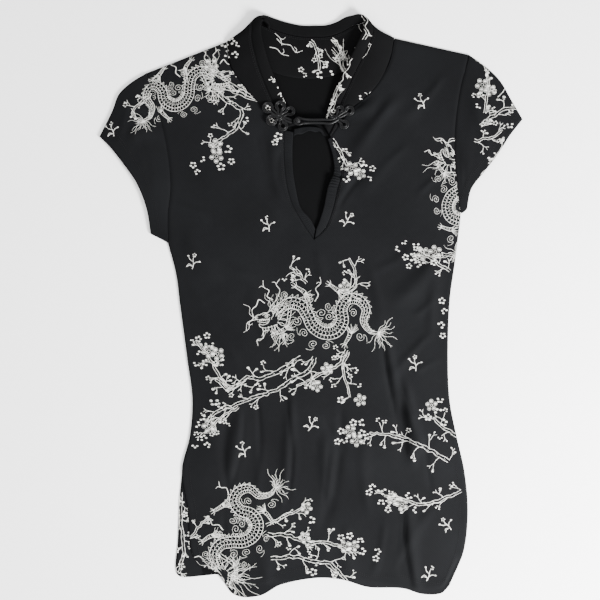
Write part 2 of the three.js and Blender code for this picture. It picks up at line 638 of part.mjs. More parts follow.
// A round cord along a curve: an endless one, or one with flat ends.
function cord(points, steps, endless) {
  const curve = new THREE.CatmullRomCurve3(points, endless, 'centripetal');
  if (endless) return new THREE.TubeGeometry(curve, steps, CORD_RADIUS, CORD_SIDES, true);
  const section = new THREE.Shape();
  for (let i = 0; i < CORD_SIDES; i += 1) {
    const angle = (2 * Math.PI * (i + 0.5)) / CORD_SIDES;
    const corner = [CORD_RADIUS * Math.cos(angle), CORD_RADIUS * Math.sin(angle)];
    if (i === 0) section.moveTo(...corner);
    else section.lineTo(...corner);
  }
  section.closePath();
  return new THREE.ExtrudeGeometry(section, { steps, extrudePath: curve, bevelEnabled: false });
}

// One petal: a drop-shaped loop from the flower's centre out to its tip and back.
function petal(centre, { x, y, width }) {
  const run = vector(x - centre.x, y - centre.y);
  const across = vector(-run.y, run.x).normalize();
  const points = [];
  const count = 12;
  for (let i = 0; i < count; i += 1) {
    const turn = (2 * Math.PI * i) / count;
    const out = (1 - Math.cos(turn)) / 2;
    const place = vector(centre.x, centre.y, CORD_HEIGHT).addScaledVector(run, out);
    points.push(place.addScaledVector(across, (width / 2) * Math.sin(turn) * (0.35 + 0.65 * out)));
  }
  return cord(points, 12, true);
}

// The flower's short tail is two cords side by side that stop at the button.
function frogFlower() {
  const petals = FLOWER.petals.map((row) => petal(FLOWER.centre, row));
  const tails = [1.5, -1.5].map((off) => cord([
    vector(FLOWER.centre.x, FLOWER.centre.y - off, CORD_HEIGHT),
    vector(-29, 214 + off, CORD_HEIGHT),
    vector(BUTTON.x - 7.2, BUTTON.y + off, CORD_HEIGHT),
  ], 6, false));
  return joined([...petals, ...tails]);
}

// The knotted button: a small foot on the cloth, a stem through the loop, and the ball over it.
function frogButton() {
  const foot = CORD_HEIGHT - CORD_RADIUS;
  const loopTop = foot + 1.1 + 2 * CORD_RADIUS + SEAM_GAP;
  const profile = [
    [0, foot],
    [3.4, foot],
    [3.4, foot + 0.8],
    [1.6, foot + 0.9],
    [1.6, loopTop],
    [2.9, loopTop],
    [BUTTON_RADIUS, loopTop + 1.5],
    [BUTTON_RADIUS * 0.93, loopTop + 2.9],
    [2.3, loopTop + 4.2],
    [0, loopTop + 4.6],
  ].map(([radius, height]) => new THREE.Vector2(radius, height));
  const geometry = new THREE.LatheGeometry(profile, 20);
  geometry.rotateX(Math.PI / 2);
  geometry.translate(BUTTON.x, BUTTON.y, 0);
  return geometry;
}

// The trefoil, and the two cords that leave it side by side and turn round the button's stem.
function frogLoop() {
  const petals = TREFOIL.petals.map((row) => petal(TREFOIL.centre, row));
  const overFoot = CORD_HEIGHT + 1.1;
  const round = 1.6 + SEAM_GAP + CORD_RADIUS + 0.15;
  const half = 1.9;
  const run = [
    vector(TREFOIL.centre.x + 1, TREFOIL.centre.y + 1, CORD_HEIGHT),
    vector(22, 211.8 + half, CORD_HEIGHT),
    vector(12, BUTTON.y + half, CORD_HEIGHT),
    vector(-2, BUTTON.y + half, CORD_HEIGHT),
    vector(-9.5, BUTTON.y + half + 0.6, overFoot - 0.3),
    vector(BUTTON.x, BUTTON.y + round, overFoot),
    vector(BUTTON.x - round, BUTTON.y, overFoot),
    vector(BUTTON.x, BUTTON.y - round, overFoot),
    vector(-9.5, BUTTON.y - half - 0.6, overFoot - 0.3),
    vector(-2, BUTTON.y - half, CORD_HEIGHT),
    vector(12, BUTTON.y - half, CORD_HEIGHT),
    vector(22, 211.2 - half, CORD_HEIGHT),
    vector(TREFOIL.centre.x + 2, TREFOIL.centre.y - 1.5, CORD_HEIGHT),
  ];
  return joined([...petals, cord(run, 36, false)]);
}

const garment = new THREE.Group();
garment.add(
  piece('back_panel', backPanel(), COLOURS.cloth, 0.9),
  piece('front_panel', frontPanel(), COLOURS.cloth, 0.9),
  piece('sleeve_left', sleeve('left'), COLOURS.cloth, 0.9),
  piece('sleeve_right', sleeve('right'), COLOURS.cloth, 0.9),
  piece('collar_stand', collarStand(), COLOURS.cloth, 0.9),
  piece('collar_band', collarBand(), COLOURS.band, 0.9),
  piece('keyhole_band_left', keyholeBand('left'), COLOURS.band, 0.9),
  piece('keyhole_band_right', keyholeBand('right'), COLOURS.band, 0.9),
  piece('neck_tab', neckTab(), COLOURS.band, 0.9),
  piece('frog_flower', frogFlower(), COLOURS.cord, 0.45),
  piece('frog_button', frogButton(), COLOURS.cord, 0.45),
  piece('frog_loop', frogLoop(), COLOURS.cord, 0.45),
);

// The origin is the middle of the box, on the surface that the garment lies on.
const box = new THREE.Box3().setFromObject(garment);
garment.position.set(-(box.min.x + box.max.x) / 2, -(box.min.y + box.max.y) / 2, -box.min.z);

export default garment;
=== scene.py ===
import math

import bpy
import numpy as np
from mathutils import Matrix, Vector
from mathutils.bvhtree import BVHTree


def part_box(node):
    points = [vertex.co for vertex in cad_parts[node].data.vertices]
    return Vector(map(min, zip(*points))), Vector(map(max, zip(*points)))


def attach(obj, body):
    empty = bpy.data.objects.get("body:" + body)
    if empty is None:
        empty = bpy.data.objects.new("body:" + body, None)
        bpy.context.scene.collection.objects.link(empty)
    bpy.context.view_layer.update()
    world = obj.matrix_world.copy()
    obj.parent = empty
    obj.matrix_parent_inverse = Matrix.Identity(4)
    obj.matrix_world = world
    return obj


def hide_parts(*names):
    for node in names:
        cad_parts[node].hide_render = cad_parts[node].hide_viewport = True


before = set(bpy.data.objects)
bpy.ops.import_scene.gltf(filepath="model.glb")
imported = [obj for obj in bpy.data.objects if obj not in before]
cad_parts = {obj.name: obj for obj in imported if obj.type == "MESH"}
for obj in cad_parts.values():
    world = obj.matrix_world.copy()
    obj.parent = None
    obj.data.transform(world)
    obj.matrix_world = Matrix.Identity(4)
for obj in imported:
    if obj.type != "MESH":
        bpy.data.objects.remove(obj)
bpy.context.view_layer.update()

# The top is looked at from straight above, as far off as makes 600 pixels span the width below.
# Tables of the garment are in millimetres, from a point on its centre line, and this shift brings
# them to the frame. The left shoulder point and the right neck point give it.
MM = 0.001
LEFT_SHOULDER_X = -190
RIGHT_NECK_Y = 308
back_low, back_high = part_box("back_panel")
SHIFT = np.array([back_low.x / MM - LEFT_SHOULDER_X, back_high.y / MM - RIGHT_NECK_Y, 0.0])
PICTURE_WIDTH = 690
PICTURE_CENTRE = np.array([-13.2, 6.9, 3.0]) + SHIFT
LENS = 50
SENSOR = 36

camera = bpy.data.objects.new("camera", bpy.data.cameras.new("camera"))
bpy.context.scene.collection.objects.link(camera)
camera.data.lens = LENS
camera.data.sensor_width = SENSOR
camera.data.clip_start = 0.01
camera.location = Vector(PICTURE_CENTRE * MM) + Vector((0, 0, PICTURE_WIDTH * MM * LENS / SENSOR))
bpy.context.scene.camera = camera


# The surface it lies on is a plain pale board, lit by a soft lamp low on the right, a weak wide
# one on the lower left, and an even white room.
FLOOR_SIZE = 6.0
FLOOR_COLOUR = (0.93, 0.93, 0.93, 1)
FLOOR_PALE = (0.96, 0.96, 0.96, 1)
ROOM_LIGHT = 1.5
LAMPS = (
    {"name": "key", "place": (1.05, -0.75, 0.72), "size": 0.5, "watts": 135},
    {"name": "fill", "place": (-1.2, -0.6, 1.4), "size": 1.2, "watts": 14},
)


def node(tree, kind, settings=None, inputs=None):
    made = tree.nodes.new(kind)
    for key, value in (settings or {}).items():
        setattr(made, key, value)
    for key, value in (inputs or {}).items():
        if isinstance(value, bpy.types.NodeSocket):
            tree.links.new(value, made.inputs[key])
        else:
            made.inputs[key].default_value = value
    return made


def surface(name, **values):
    """A new material, its node tree and its shader, with the plain values set on the shader."""
    material = bpy.data.materials.new(name)
    material.use_nodes = True
    shader = material.node_tree.nodes["Principled BSDF"]
    for key, value in values.items():
        shader.inputs[key.replace("_", " ")].default_value = value
    return material, material.node_tree, shader


def object_place(tree):
    return node(tree, "ShaderNodeTexCoord").outputs["Object"]


def noise(tree, scale, detail, place=None):
    inputs = {"Scale": scale, "Detail": detail}
    if place is not None:
        inputs["Vector"] = place
    return node(tree, "ShaderNodeTexNoise", inputs=inputs).outputs["Fac"]


def two_toned(tree, shader, share, dark, light):
    """Colour a surface between a dark and a light tone, by the share at each place."""
    colour = node(tree, "ShaderNodeMix", {"data_type": "RGBA"}, {0: share, 6: dark, 7: light})
    tree.links.new(colour.outputs[2], shader.inputs["Base Color"])


def bumped(tree, shader, height, strength, depth):
    bump = node(tree, "ShaderNodeBump", inputs={"Strength": strength, "Distance": depth, "Height": height})
    tree.links.new(bump.outputs[0], shader.inputs["Normal"])


def add_object(name, points, faces, materials):
    mesh = bpy.data.meshes.new(name)
    mesh.from_pydata(points, [], faces)
    for material in materials:
        mesh.materials.append(material)
    made = bpy.data.objects.new(name, mesh)
    bpy.context.scene.collection.objects.link(made)
    return made


half = FLOOR_SIZE / 2
corners = [(-half, -half, 0), (half, -half, 0), (half, half, 0), (-half, half, 0)]
board, board_tree, board_shader = surface("pale_board", Roughness=0.85)
two_toned(board_tree, board_shader, noise(board_tree, scale=40.0, detail=3.0), FLOOR_COLOUR, FLOOR_PALE)
floor = add_object("floor", corners, [(0, 1, 2, 3)], [board])

world = bpy.data.worlds.new("room")
world.use_nodes = True
world.node_tree.nodes["Background"].inputs["Color"].default_value = (1, 1, 1, 1)
world.node_tree.nodes["Background"].inputs["Strength"].default_value = ROOM_LIGHT
bpy.context.scene.world = world
for lamp in LAMPS:
    light = bpy.data.lights.new(lamp["name"], "AREA")
    light.shape = "DISK"
    light.size = lamp["size"]
    light.energy = lamp["watts"]
    light_object = bpy.data.objects.new(lamp["name"], light)
    light_object.location = lamp["place"]
    light_object.rotation_euler = (-Vector(lamp["place"])).to_track_quat("-Z", "Y").to_euler()
    bpy.context.scene.collection.objects.link(light_object)


# The back is one piece of fine black stretch knit, printed on its outer side, which lies face
# down. Its plain wrong side shows in the neck and the keyhole, and a strip of its edge at the
# left side vent. The side seams, armholes, shoulders and neckline are cut on the lines below.
KNIT_THICKNESS = 0.7
BACK_MIDDLE = 0.42
KNIT_BLACK = (0.0013, 0.0014, 0.0017, 1)
KNIT_GREY = (0.0047, 0.0050, 0.0057, 1)
# The collar's tones are darker than the body's: painted shade, for the shadow in and under the standing
# collar.
COLLAR_SHADED_BLACK = (0.0010, 0.0010, 0.0011, 1)
COLLAR_SHADED_GREY = (0.0036, 0.0037, 0.0040, 1)
# The wrong side has its own plain, duller tone, darkened further as painted shade for the shadow inside the
# neck and the keyhole.
WRONG_SIDE_SHADED_BLACK = (0.0008, 0.0008, 0.0009, 1)
WRONG_SIDE_SHADED_GREY = (0.0019, 0.0020, 0.0022, 1)
DIAGONAL_PITCH = 2.7
LOOP_PITCH = 0.9
CLOTH_GAP = 0.05
BACK_NECK_DEPTH = 43
LEFT_NECK = (-98, 304)
RIGHT_NECK = (96, 308)

# Sections of the body, from the hem to the shoulder: the left seam, the left and right inner
# edges, and the right seam. The inner edges are the centre line up to the keyhole's tip, then the
# keyhole's seams and the neckline.
BODY_SECTIONS = (
    ("hem", (-129, -299), (4, -313), (4, -313), (159, -322)),
    ("vent corner", (-138, -283), (4, -288), (4, -288), (175, -283)),
    ("vent", (-142, -235), (4, -238), (4, -238), (180, -238)),
    ("vent top", (-149, -189), (4, -190), (4, -190), (176, -190)),
    ("hip", (-140, -150), (4, -150), (4, -150), (167, -150)),
    ("low waist", (-137, -108), (4, -108), (4, -108), (159, -108)),
    ("waist", (-143, -60), (4, -60), (4, -60), (157, -60)),
    ("high waist", (-151, 0), (4, 0), (4, 0), (159, 5)),
    ("rib", (-156, 38), (4, 40), (4, 40), (165, 50)),
    ("underarm", (-165, 72), (3, 76), (3, 76), (172, 106)),
    ("chest", (-165, 108), (-10, 95), (16, 90), (167, 145)),
    ("high chest", (-162, 135), (-22, 117), (24, 110), (165, 172)),
    ("keyhole middle", (-163, 157), (-28, 137), (30, 135), (165, 196)),
    ("keyhole widest", (-166, 180), (-31, 160), (34, 152), (167, 222)),
    ("keyhole upper", (-171, 204), (-32, 182), (29, 175), (170, 243)),
    ("neck point", (-176, 222), (-32, 204), (22, 195), (173, 258)),
    ("collar base", (-181, 235), (-57, 229), (44, 225), (176, 268)),
    ("collar side", (-184, 246), (-82, 258), (70, 248), (178, 276)),
    ("collar top", (-187, 257), (-95, 279), (89, 278), (180, 283)),
    ("shoulder", (-190, 268), (-98, 304), (96, 308), (181, 289)),
)
SECTION_NAMES, LEFT_SEAM, LEFT_INNER, RIGHT_INNER, RIGHT_SEAM = zip(*BODY_SECTIONS)
SEAMS = {"left": LEFT_SEAM, "right": RIGHT_SEAM}
INNER_EDGES = {"left": LEFT_INNER, "right": RIGHT_INNER}
VENT_TOP = SECTION_NAMES.index("vent top")
UNDERARM = SECTION_NAMES.index("underarm")
NECK_POINT = SECTION_NAMES.index("neck point")
COLLAR_SIDE = SECTION_NAMES.index("collar side")
SHOULDER = SECTION_NAMES.index("shoulder")
BACK_HEM = (
    (-152, -217), (-154, -269), (-156, -306), (-151, -312), (-112, -308),
    (-36, -311), (56, -311), (148, -318), (168, -283), (176, -238),
)
BACK_LOWER_EDGE = BACK_HEM[3:9]


def spline(points, numbers):
    """Centripetal Catmull-Rom curve through points, read at point numbers."""
    points = np.asarray(points, float)
    ends = (2 * points[:1] - points[1:2], points, 2 * points[-1:] - points[-2:-1])
    padded = np.vstack(ends)
    numbers = np.clip(np.asarray(numbers, float), 0, len(points) - 1)
    first = np.minimum(numbers.astype(int), len(points) - 2)
    t = (numbers - first)[..., None]
    before, start, end, after = (padded[first + step] for step in range(4))
    lengths = [np.maximum(np.linalg.norm(b - a, axis=-1, keepdims=True), 1e-6) ** 0.5
               for a, b in ((before, start), (start, end), (end, after))]
    slope_in = (start - before) / lengths[0] - (end - before) / (lengths[0] + lengths[1])
    slope_out = (after - end) / lengths[2] - (after - start) / (lengths[1] + lengths[2])
    tangent_in = (slope_in + (end - start) / lengths[1]) * lengths[1]
    tangent_out = (slope_out + (end - start) / lengths[1]) * lengths[1]
    square = 3 * (end - start) - 2 * tangent_in - tangent_out
    cubic = 2 * (start - end) + tangent_in + tangent_out
    return start + tangent_in * t + square * t ** 2 + cubic * t ** 3


def cornered(points, corners, numbers):
    """The same curve with a corner at each numbered point."""
    numbers = np.asarray(numbers, float)
    ends = [0, *corners, len(points) - 1]
    result = np.zeros(numbers.shape + (2,))
    for start, end in zip(ends[:-1], ends[1:]):
        inside = (numbers >= start) & (numbers <= end)
        result[inside] = spline(points[start:end + 1], numbers[inside] - start)
    return result


def seam(side, sections):
    return cornered(SEAMS[side], [UNDERARM], sections)


def inner_edge(side, sections):
    return cornered(INNER_EDGES[side], [UNDERARM, NECK_POINT], sections)


def smooth(t):
    t = np.clip(t, 0, 1)
    return t * t * (3 - 2 * t)


def ray_of(angle):
    return np.array([math.cos(angle), math.sin(angle)])


def left_of(way):
    return np.array([-way[1], way[0]])


def back_neck(x):
    """The scooped back neckline, as its height at each x."""
    middle = (LEFT_NECK[0] + RIGHT_NECK[0]) / 2
    half_width = (RIGHT_NECK[0] - LEFT_NECK[0]) / 2
    chord = LEFT_NECK[1] + (RIGHT_NECK[1] - LEFT_NECK[1]) * (x - LEFT_NECK[0]) / (2 * half_width)
    return chord - BACK_NECK_DEPTH * (1 - ((x - middle) / half_width) ** 2)


def noise_wave(x, y, seed, pitch):
    """A soft uneven swell over the plan, from a few crossed waves."""
    chance = np.random.default_rng(seed)
    total = np.zeros(np.broadcast(x, y).shape)
    for _ in range(5):
        angle, phase = chance.uniform(0, math.tau, 2)
        stretch = chance.uniform(0.7, 1.4)
        total += np.sin((x * math.cos(angle) + y * math.sin(angle)) * math.tau / (pitch * stretch) + phase)
    return total / 5


def cloth(name, grids, thickness, materials, wrapped=False, face_up=True):
    """A thin shell of cloth from grids of points on its middle, welded where they meet."""
    points, faces, start = [], [], 0
    for grid in grids:
        rows, columns = grid.shape[:2]
        index = start + np.arange(rows * columns).reshape(rows, columns)
        if wrapped:
            index = np.hstack([index, index[:, :1]])
        quads = np.stack([index[:-1, :-1], index[:-1, 1:], index[1:, 1:], index[1:, :-1]], -1).reshape(-1, 4)
        across = grid[1:, 1:, :2] - grid[:-1, :-1, :2]
        other = grid[1:, :-1, :2] - grid[:-1, 1:, :2]
        if face_up and (across[..., 0] * other[..., 1] - across[..., 1] * other[..., 0]).sum() < 0:
            quads = quads[:, ::-1]
        points.append(grid.reshape(-1, 3))
        faces.append(quads)
        start += rows * columns
    points = np.vstack(points)
    faces = np.vstack(faces)
    _, first, number = np.unique(np.round(points, 3), axis=0, return_index=True, return_inverse=True)
    faces = number.reshape(-1)[faces]
    piece = add_object(name, ((points[first] + SHIFT) * MM).tolist(), faces.tolist(), materials)
    middle = piece.data
    thick = piece.modifiers.new("cloth thickness", "SOLIDIFY")
    thick.thickness = thickness * MM
    thick.offset = 0
    thick.material_offset = len(materials) - 1
    shaped = bpy.data.meshes.new_from_object(piece.evaluated_get(bpy.context.evaluated_depsgraph_get()))
    shaped.name = name
    piece.modifiers.clear()
    piece.data = shaped
    bpy.data.meshes.remove(middle)
    shaped.shade_smooth()
    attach(piece, "root")
    return piece


def group(name, inputs, outputs):
    """An empty shader group with numbered inputs and outputs, and its two end nodes."""
    tree = bpy.data.node_groups.new(name, "ShaderNodeTree")
    for socket, kind, value in inputs:
        made = tree.interface.new_socket(socket, in_out="INPUT", socket_type=kind)
        if value is not None:
            made.default_value = value
    for socket, kind in outputs:
        tree.interface.new_socket(socket, in_out="OUTPUT", socket_type=kind)
    return tree, tree.nodes.new("NodeGroupInput"), tree.nodes.new("NodeGroupOutput")


def knit_group():
    """Fine knit: rows of loops, a faint slanting rib over them, and slow changes of tone."""
    tree, start, end = group("fine_knit", [
        ("Place", "NodeSocketVector", None),
        ("Slant pitch", "NodeSocketFloat", DIAGONAL_PITCH * MM),
        ("Loop pitch", "NodeSocketFloat", LOOP_PITCH * MM),
    ], [("Tone", "NodeSocketFloat"), ("Height", "NodeSocketFloat")])
    place, slant_pitch, loop_pitch = (start.outputs[name] for name in ("Place", "Slant pitch", "Loop pitch"))

    def calculate(operation, *values):
        return node(tree, "ShaderNodeMath", {"operation": operation}, dict(enumerate(values))).outputs[0]

    def wave(length, pitch):
        return calculate("SINE", calculate("MULTIPLY", calculate("DIVIDE", length, pitch), math.tau))

    def uneven(noise_value, amount):
        return calculate("MULTIPLY", calculate("SUBTRACT", noise_value, 0.5), amount)

    axes = node(tree, "ShaderNodeSeparateXYZ", inputs={0: place})
    diagonal = calculate("ADD", axes.outputs["X"], axes.outputs["Y"])
    rib = wave(calculate("ADD", diagonal, uneven(noise(tree, 220.0, 2.0, place), 0.0016)), slant_pitch)
    loops = calculate("MULTIPLY", wave(axes.outputs["X"], loop_pitch), wave(axes.outputs["Y"], loop_pitch))
    fuzz = noise(tree, 900.0, 2.0, place)
    tone = calculate("MULTIPLY_ADD", rib, 0.24, 0.5)
    tone = calculate("MULTIPLY_ADD", loops, 0.08, tone)
    tone = calculate("ADD", tone, uneven(noise(tree, 14.0, 3.0, place), 0.9))
    tone = calculate("ADD", tone, uneven(fuzz, 0.7))
    tree.links.new(node(tree, "ShaderNodeClamp", inputs={0: tone}).outputs[0], end.inputs["Tone"])
    height = calculate("MULTIPLY_ADD", rib, 0.25, calculate("MULTIPLY", loops, 0.35))
    tree.links.new(calculate("MULTIPLY_ADD", fuzz, 0.5, height), end.inputs["Height"])
    return tree


knit_tree = knit_group()


def fine_knit(tree):
    return node(tree, "ShaderNodeGroup", {"node_tree": knit_tree}, {"Place": object_place(tree)})


def knit_material(name, dark, light, gloss):
    material, tree, shader = surface(name, Roughness=0.88, Specular_IOR_Level=gloss)
    pattern = fine_knit(tree)
    two_toned(tree, shader, pattern.outputs["Tone"], dark, light)
    bumped(tree, shader, pattern.outputs["Height"], strength=0.5, depth=0.00015)
    return material


knit = knit_material("black_knit", KNIT_BLACK, KNIT_GREY, 0.075)
# The collar's knit is a darker copy of the body's knit, as painted shade.
collar_knit_painted_shade = knit_material("black_collar_knit_painted_shade", COLLAR_SHADED_BLACK, COLLAR_SHADED_GREY, 0.045)
# The wrong side's knit: its own duller tone plus painted shade, darker than the right side.
knit_wrong_side_painted_shade = knit_material("black_knit_wrong_side_painted_shade", WRONG_SIDE_SHADED_BLACK, WRONG_SIDE_SHADED_GREY, 0.05)

# The back's lower corners, as places along its hem, the rows and columns of its mesh, and the
# share of its rows from which the neckline's scoop is let in.
LEFT_CORNER = 3.4
RIGHT_CORNER = 7
BACK_ROWS = 110
BACK_CORNER_ROWS = 25
BACK_COLUMNS = 110
BACK_HEM_ROWS = 14
NECK_RISE_FROM = 0.62


def back_grid():
    """Rows up the back from the hem to the shoulders; the neckline is scooped out of the top."""
    upper = np.linspace(VENT_TOP, SHOULDER, BACK_ROWS)
    lower = np.linspace(0, 1, BACK_CORNER_ROWS + 1)[:-1]
    hem = np.array(BACK_HEM, float)
    left_edge = np.vstack([spline(hem, LEFT_CORNER - lower * LEFT_CORNER), seam("left", upper)])
    right_rise = RIGHT_CORNER + lower * (len(hem) - 1 - RIGHT_CORNER)
    right_edge = np.vstack([spline(hem, right_rise), seam("right", upper)])
    across = np.linspace(0, 1, BACK_COLUMNS)
    grid = left_edge[:, None] * (1 - across)[None, :, None] + right_edge[:, None] * across[None, :, None]
    hem_line = spline(hem, LEFT_CORNER + across * (RIGHT_CORNER - LEFT_CORNER))
    row = np.arange(len(grid))
    fade = smooth(1 - row / BACK_HEM_ROWS)[:, None]
    grid[..., 1] += (hem_line[:, 1] - grid[0, :, 1])[None, :] * fade
    top_x = grid[-1, :, 0]
    inside = (top_x > LEFT_NECK[0]) & (top_x < RIGHT_NECK[0])
    drop = np.where(inside, back_neck(top_x) - grid[-1, :, 1], 0)
    rise = smooth((row / row[-1] - NECK_RISE_FROM) / (1 - NECK_RISE_FROM))[:, None]
    grid[..., 1] += drop[None, :] * rise
    return grid


back_plan = back_grid()
back_height = BACK_MIDDLE + 0.12 * (noise_wave(back_plan[..., 0], back_plan[..., 1], 3, 60) + 1)
back = cloth("back", [np.dstack([back_plan, back_height])], KNIT_THICKNESS, [knit_wrong_side_painted_shade, knit])
VENT_STRIP_X = -126
vent_top_y = LEFT_SEAM[VENT_TOP][1]
for face in back.data.polygons:
    place = np.array(face.center) / MM - SHIFT
    if place[0] < VENT_STRIP_X and place[1] < vent_top_y:
        face.material_index = 1
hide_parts("back_panel")


# The front is one piece of the same knit, printed side up, cut out round the keyhole. It lies on
# the back, rolls over to it along the side and shoulder seams, and dips at the seams of the
# sleeves, the bindings and the collar. Below the back's hem it lies on the surface.
FRONT_UNDERSIDE = 1.5
FRONT_MIDDLE = FRONT_UNDERSIDE + 0.6
SIDE_ROLL = 4.5
SEAM_DIP = 0.75
SEAM_DIP_WIDTH = 2.2
BODY_LOFT = 1.4
ARMHOLE_LIFT = 1.0
NECK_LIFT = 1.0
SHOULDER_ROLL = 4.5
SHOULDER_SECTION = 11
DEEPEST_TROUGH = 0.5
LOBE_FADE = 70
FRONT_HEM = (
    (-129, -299), (-108, -308), (-90, -332), (-60, -334), (-35, -321), (4, -313),
    (36, -315), (65, -324), (105, -325), (128, -332), (150, -331), (159, -322),
)

# Creases as soft ridges, or troughs where the rise is below nought: name, start, end, bend, width
# and rise. The bend is how far the middle stands off the straight line, to the left of its run.
CREASES = (
    ("long right, upper", (86, -36), (108, -118), -3, 7, 2.5),
    ("long right, lower", (108, -90), (117, -182), 3, 6, 3.6),
    ("beside long right", (98, -70), (104, -175), 4, 6, -1.6),
    ("hip ridge", (109, -117), (127, -166), 2, 6, 2.9),
    ("right hem", (112, -226), (122, -326), -4, 7, 3),
    ("beside right hem", (104, -236), (112, -322), -4, 6, -1.3),
    ("middle", (15, -150), (21, -224), 0, 7, 2.2),
    ("left middle", (-23, -104), (-32, -228), 2, 6, 2.9),
    ("left hip", (-82, -115), (-98, -200), 4, 8, 2.6),
    ("keyhole valley", (-60, 205), (-36, 130), -3, 11, -1.9),
    ("left chest", (-96, 158), (-32, 95), 4, 9, 1.9),
    ("right chest", (99, 240), (46, 166), -3, 8, 2.7),
    ("right keyhole", (44, 158), (20, 100), 3, 7, 2.1),
    ("right armpit", (146, 66), (96, 4), 6, 9, 2.9),
    ("right side", (150, 60), (138, -34), -3, 7, 2.1),
    ("left armpit", (-146, 84), (-104, 30), -5, 9, 2.2),
    ("long right line", (82, -36), (110, -172), -4, 2.6, -2.4),
    ("long right line, outer", (104, -92), (122, -150), 2, 2.4, -1.4),
    ("right hem line", (107, -238), (116, -324), -3, 2.6, -2.1),
    ("middle line", (20, -158), (14, -228), 1, 2.4, -1.4),
    ("left middle line", (-28, -108), (-26, -226), 3, 2.6, -1.6),
    ("left hip line", (-78, -120), (-92, -206), 4, 2.8, -1.3),
    ("under the right wing", (32, 232), (62, 236), -3, 3.4, -2.6),
    ("below the right wing", (40, 226), (74, 232), -4, 6, 2.6),
    ("small left waist", (-146, -30), (-112, -52), 2, 4, 1),
    ("small left waist, lower", (-138, -72), (-100, -84), -2, 4, 0.8),
    ("small right waist", (153, -60), (118, -78), -2, 4, 1),
    ("right flank", (150, 20), (118, -12), 2, 5, 1.1),
    ("left flank", (-150, 40), (-120, 0), -3, 5, 1),
    ("left armhole tuck", (-160, 120), (-118, 100), 2, 4, 1),
    ("right armhole tuck", (163, 160), (122, 128), -2, 4, 1.1),
    ("left shoulder drag", (-120, 262), (-84, 206), 3, 6, 1.1),
    ("right shoulder drag", (150, 262), (104, 214), 3, 6, 1.3),
    ("left belly band", (-96, -128), (-95, -216), -5, 5, -1.8),
    ("left inner line", (-63, -104), (-60, -184), 2, 2.6, -1.4),
    ("middle dark line", (-22, -150), (-31, -232), 3, 2.2, -1.6),
    ("right of middle", (34, -116), (12, -256), 7, 5, -1.9),
    ("right belly slant", (14, -128), (42, -172), -2, 4, -1.0),
    ("left waist slant", (-128, -12), (-82, -70), 3, 5, 1.1),
    ("right waist slant", (140, -30), (92, -84), -3, 5, 1.3),
    ("lower right slant", (140, -232), (96, -300), -3, 6, 1.2),
    ("chest drag left", (-112, 176), (-52, 132), 3, 6, 0.9),
    ("chest drag right", (112, 186), (58, 128), -3, 6, 1.0),
    ("under left bust", (-120, 60), (-62, 34), -4, 6, 0.8),
    ("under right bust", (120, 70), (70, 40), 4, 6, 0.9),
    ("left hem line", (-100, -236), (-108, -300), 2, 2.6, -1.0),
    ("right hem slant", (84, -246), (70, -310), 3, 4, 1.1),
    ("right hip line", (132, -150), (138, -214), -2, 3, -1.0),
    ("keyhole pocket", (31, 148), (48, 152), -1, 2.8, -2.4),
    ("pocket lip", (28, 139), (64, 166), 2, 4, 1.7),
    ("below the pocket", (66, 160), (28, 108), -3, 4.5, -1.8),
    ("left of keyhole", (-34, 186), (-21, 112), -5, 4.5, -1.9),
    ("far left of keyhole", (-44, 190), (-34, 120), -5, 6, 1.2),
    ("below keyhole", (6, 66), (12, 16), 2, 5, 1),
    ("midriff", (-70, 20), (-44, -44), -4, 7, 1),
    ("right midriff", (62, 52), (80, -24), 4, 7, 1.3),
    ("left belly", (-60, -150), (-66, -240), 3, 6, 1.1),
    ("right belly", (62, -150), (66, -238), -4, 6, 1.3),
    ("left hem wave", (-58, -262), (-52, -330), 2, 7, 1.4),
    ("middle hem wave", (40, -252), (44, -312), -2, 7, 1.3),
)


def look_up(rows, x):
    """The height of a smooth line through rows of x and y, read at any x."""
    xs, ys = np.array(rows, float).T
    slopes = (np.append(ys[1:], ys[-1]) - np.append(ys[0], ys[:-1])) / (
        np.append(xs[1:], xs[-1]) - np.append(xs[0], xs[:-1]))
    first = np.clip(np.searchsorted(xs, x, side="right") - 1, 0, len(xs) - 2)
    span = xs[first + 1] - xs[first]
    t = np.clip((x - xs[first]) / span, 0, 1)
    rise = ys[first + 1] - ys[first]
    start, end = slopes[first] * span, slopes[first + 1] * span
    return ys[first] + start * t + (3 * rise - 2 * start - end) * t ** 2 + (start + end - 2 * rise) * t ** 3


def creased(x, y):
    """What the creases add to the height of a place."""
    total = np.zeros(np.shape(x))
    for _, start, end, bend, width, rise in CREASES:
        run = np.subtract(end, start)
        length = np.hypot(*run)
        dx, dy = x - start[0], y - start[1]
        along = (dx * run[0] + dy * run[1]) / length ** 2
        off = (run[0] * dy - run[1] * dx) / length - bend * 4 * along * (1 - along)
        fade = smooth((along + 0.12) / 0.35) * smooth((1.12 - along) / 0.35)
        total += rise * fade * np.exp(-(off / (width * (1 + 0.25 * np.sin(along * 5 + length)))) ** 2)
    return total


def front_plan(side, sections, across):
    """Places of the front in plan, with the hem's lobes faded out up the body."""
    outer, inner = seam(side, sections), inner_edge(side, sections)
    plan = outer * (1 - across[..., None]) + inner * across[..., None]
    foot = np.zeros(1)
    chord = seam(side, foot)[..., 1] * (1 - across) + inner_edge(side, foot)[..., 1] * across
    lift = (look_up(FRONT_HEM, plan[..., 0]) - chord) * (1 - smooth((plan[..., 1] - chord) / LOBE_FADE))
    plan[..., 1] += lift
    return plan, np.linalg.norm(outer - inner, axis=-1)


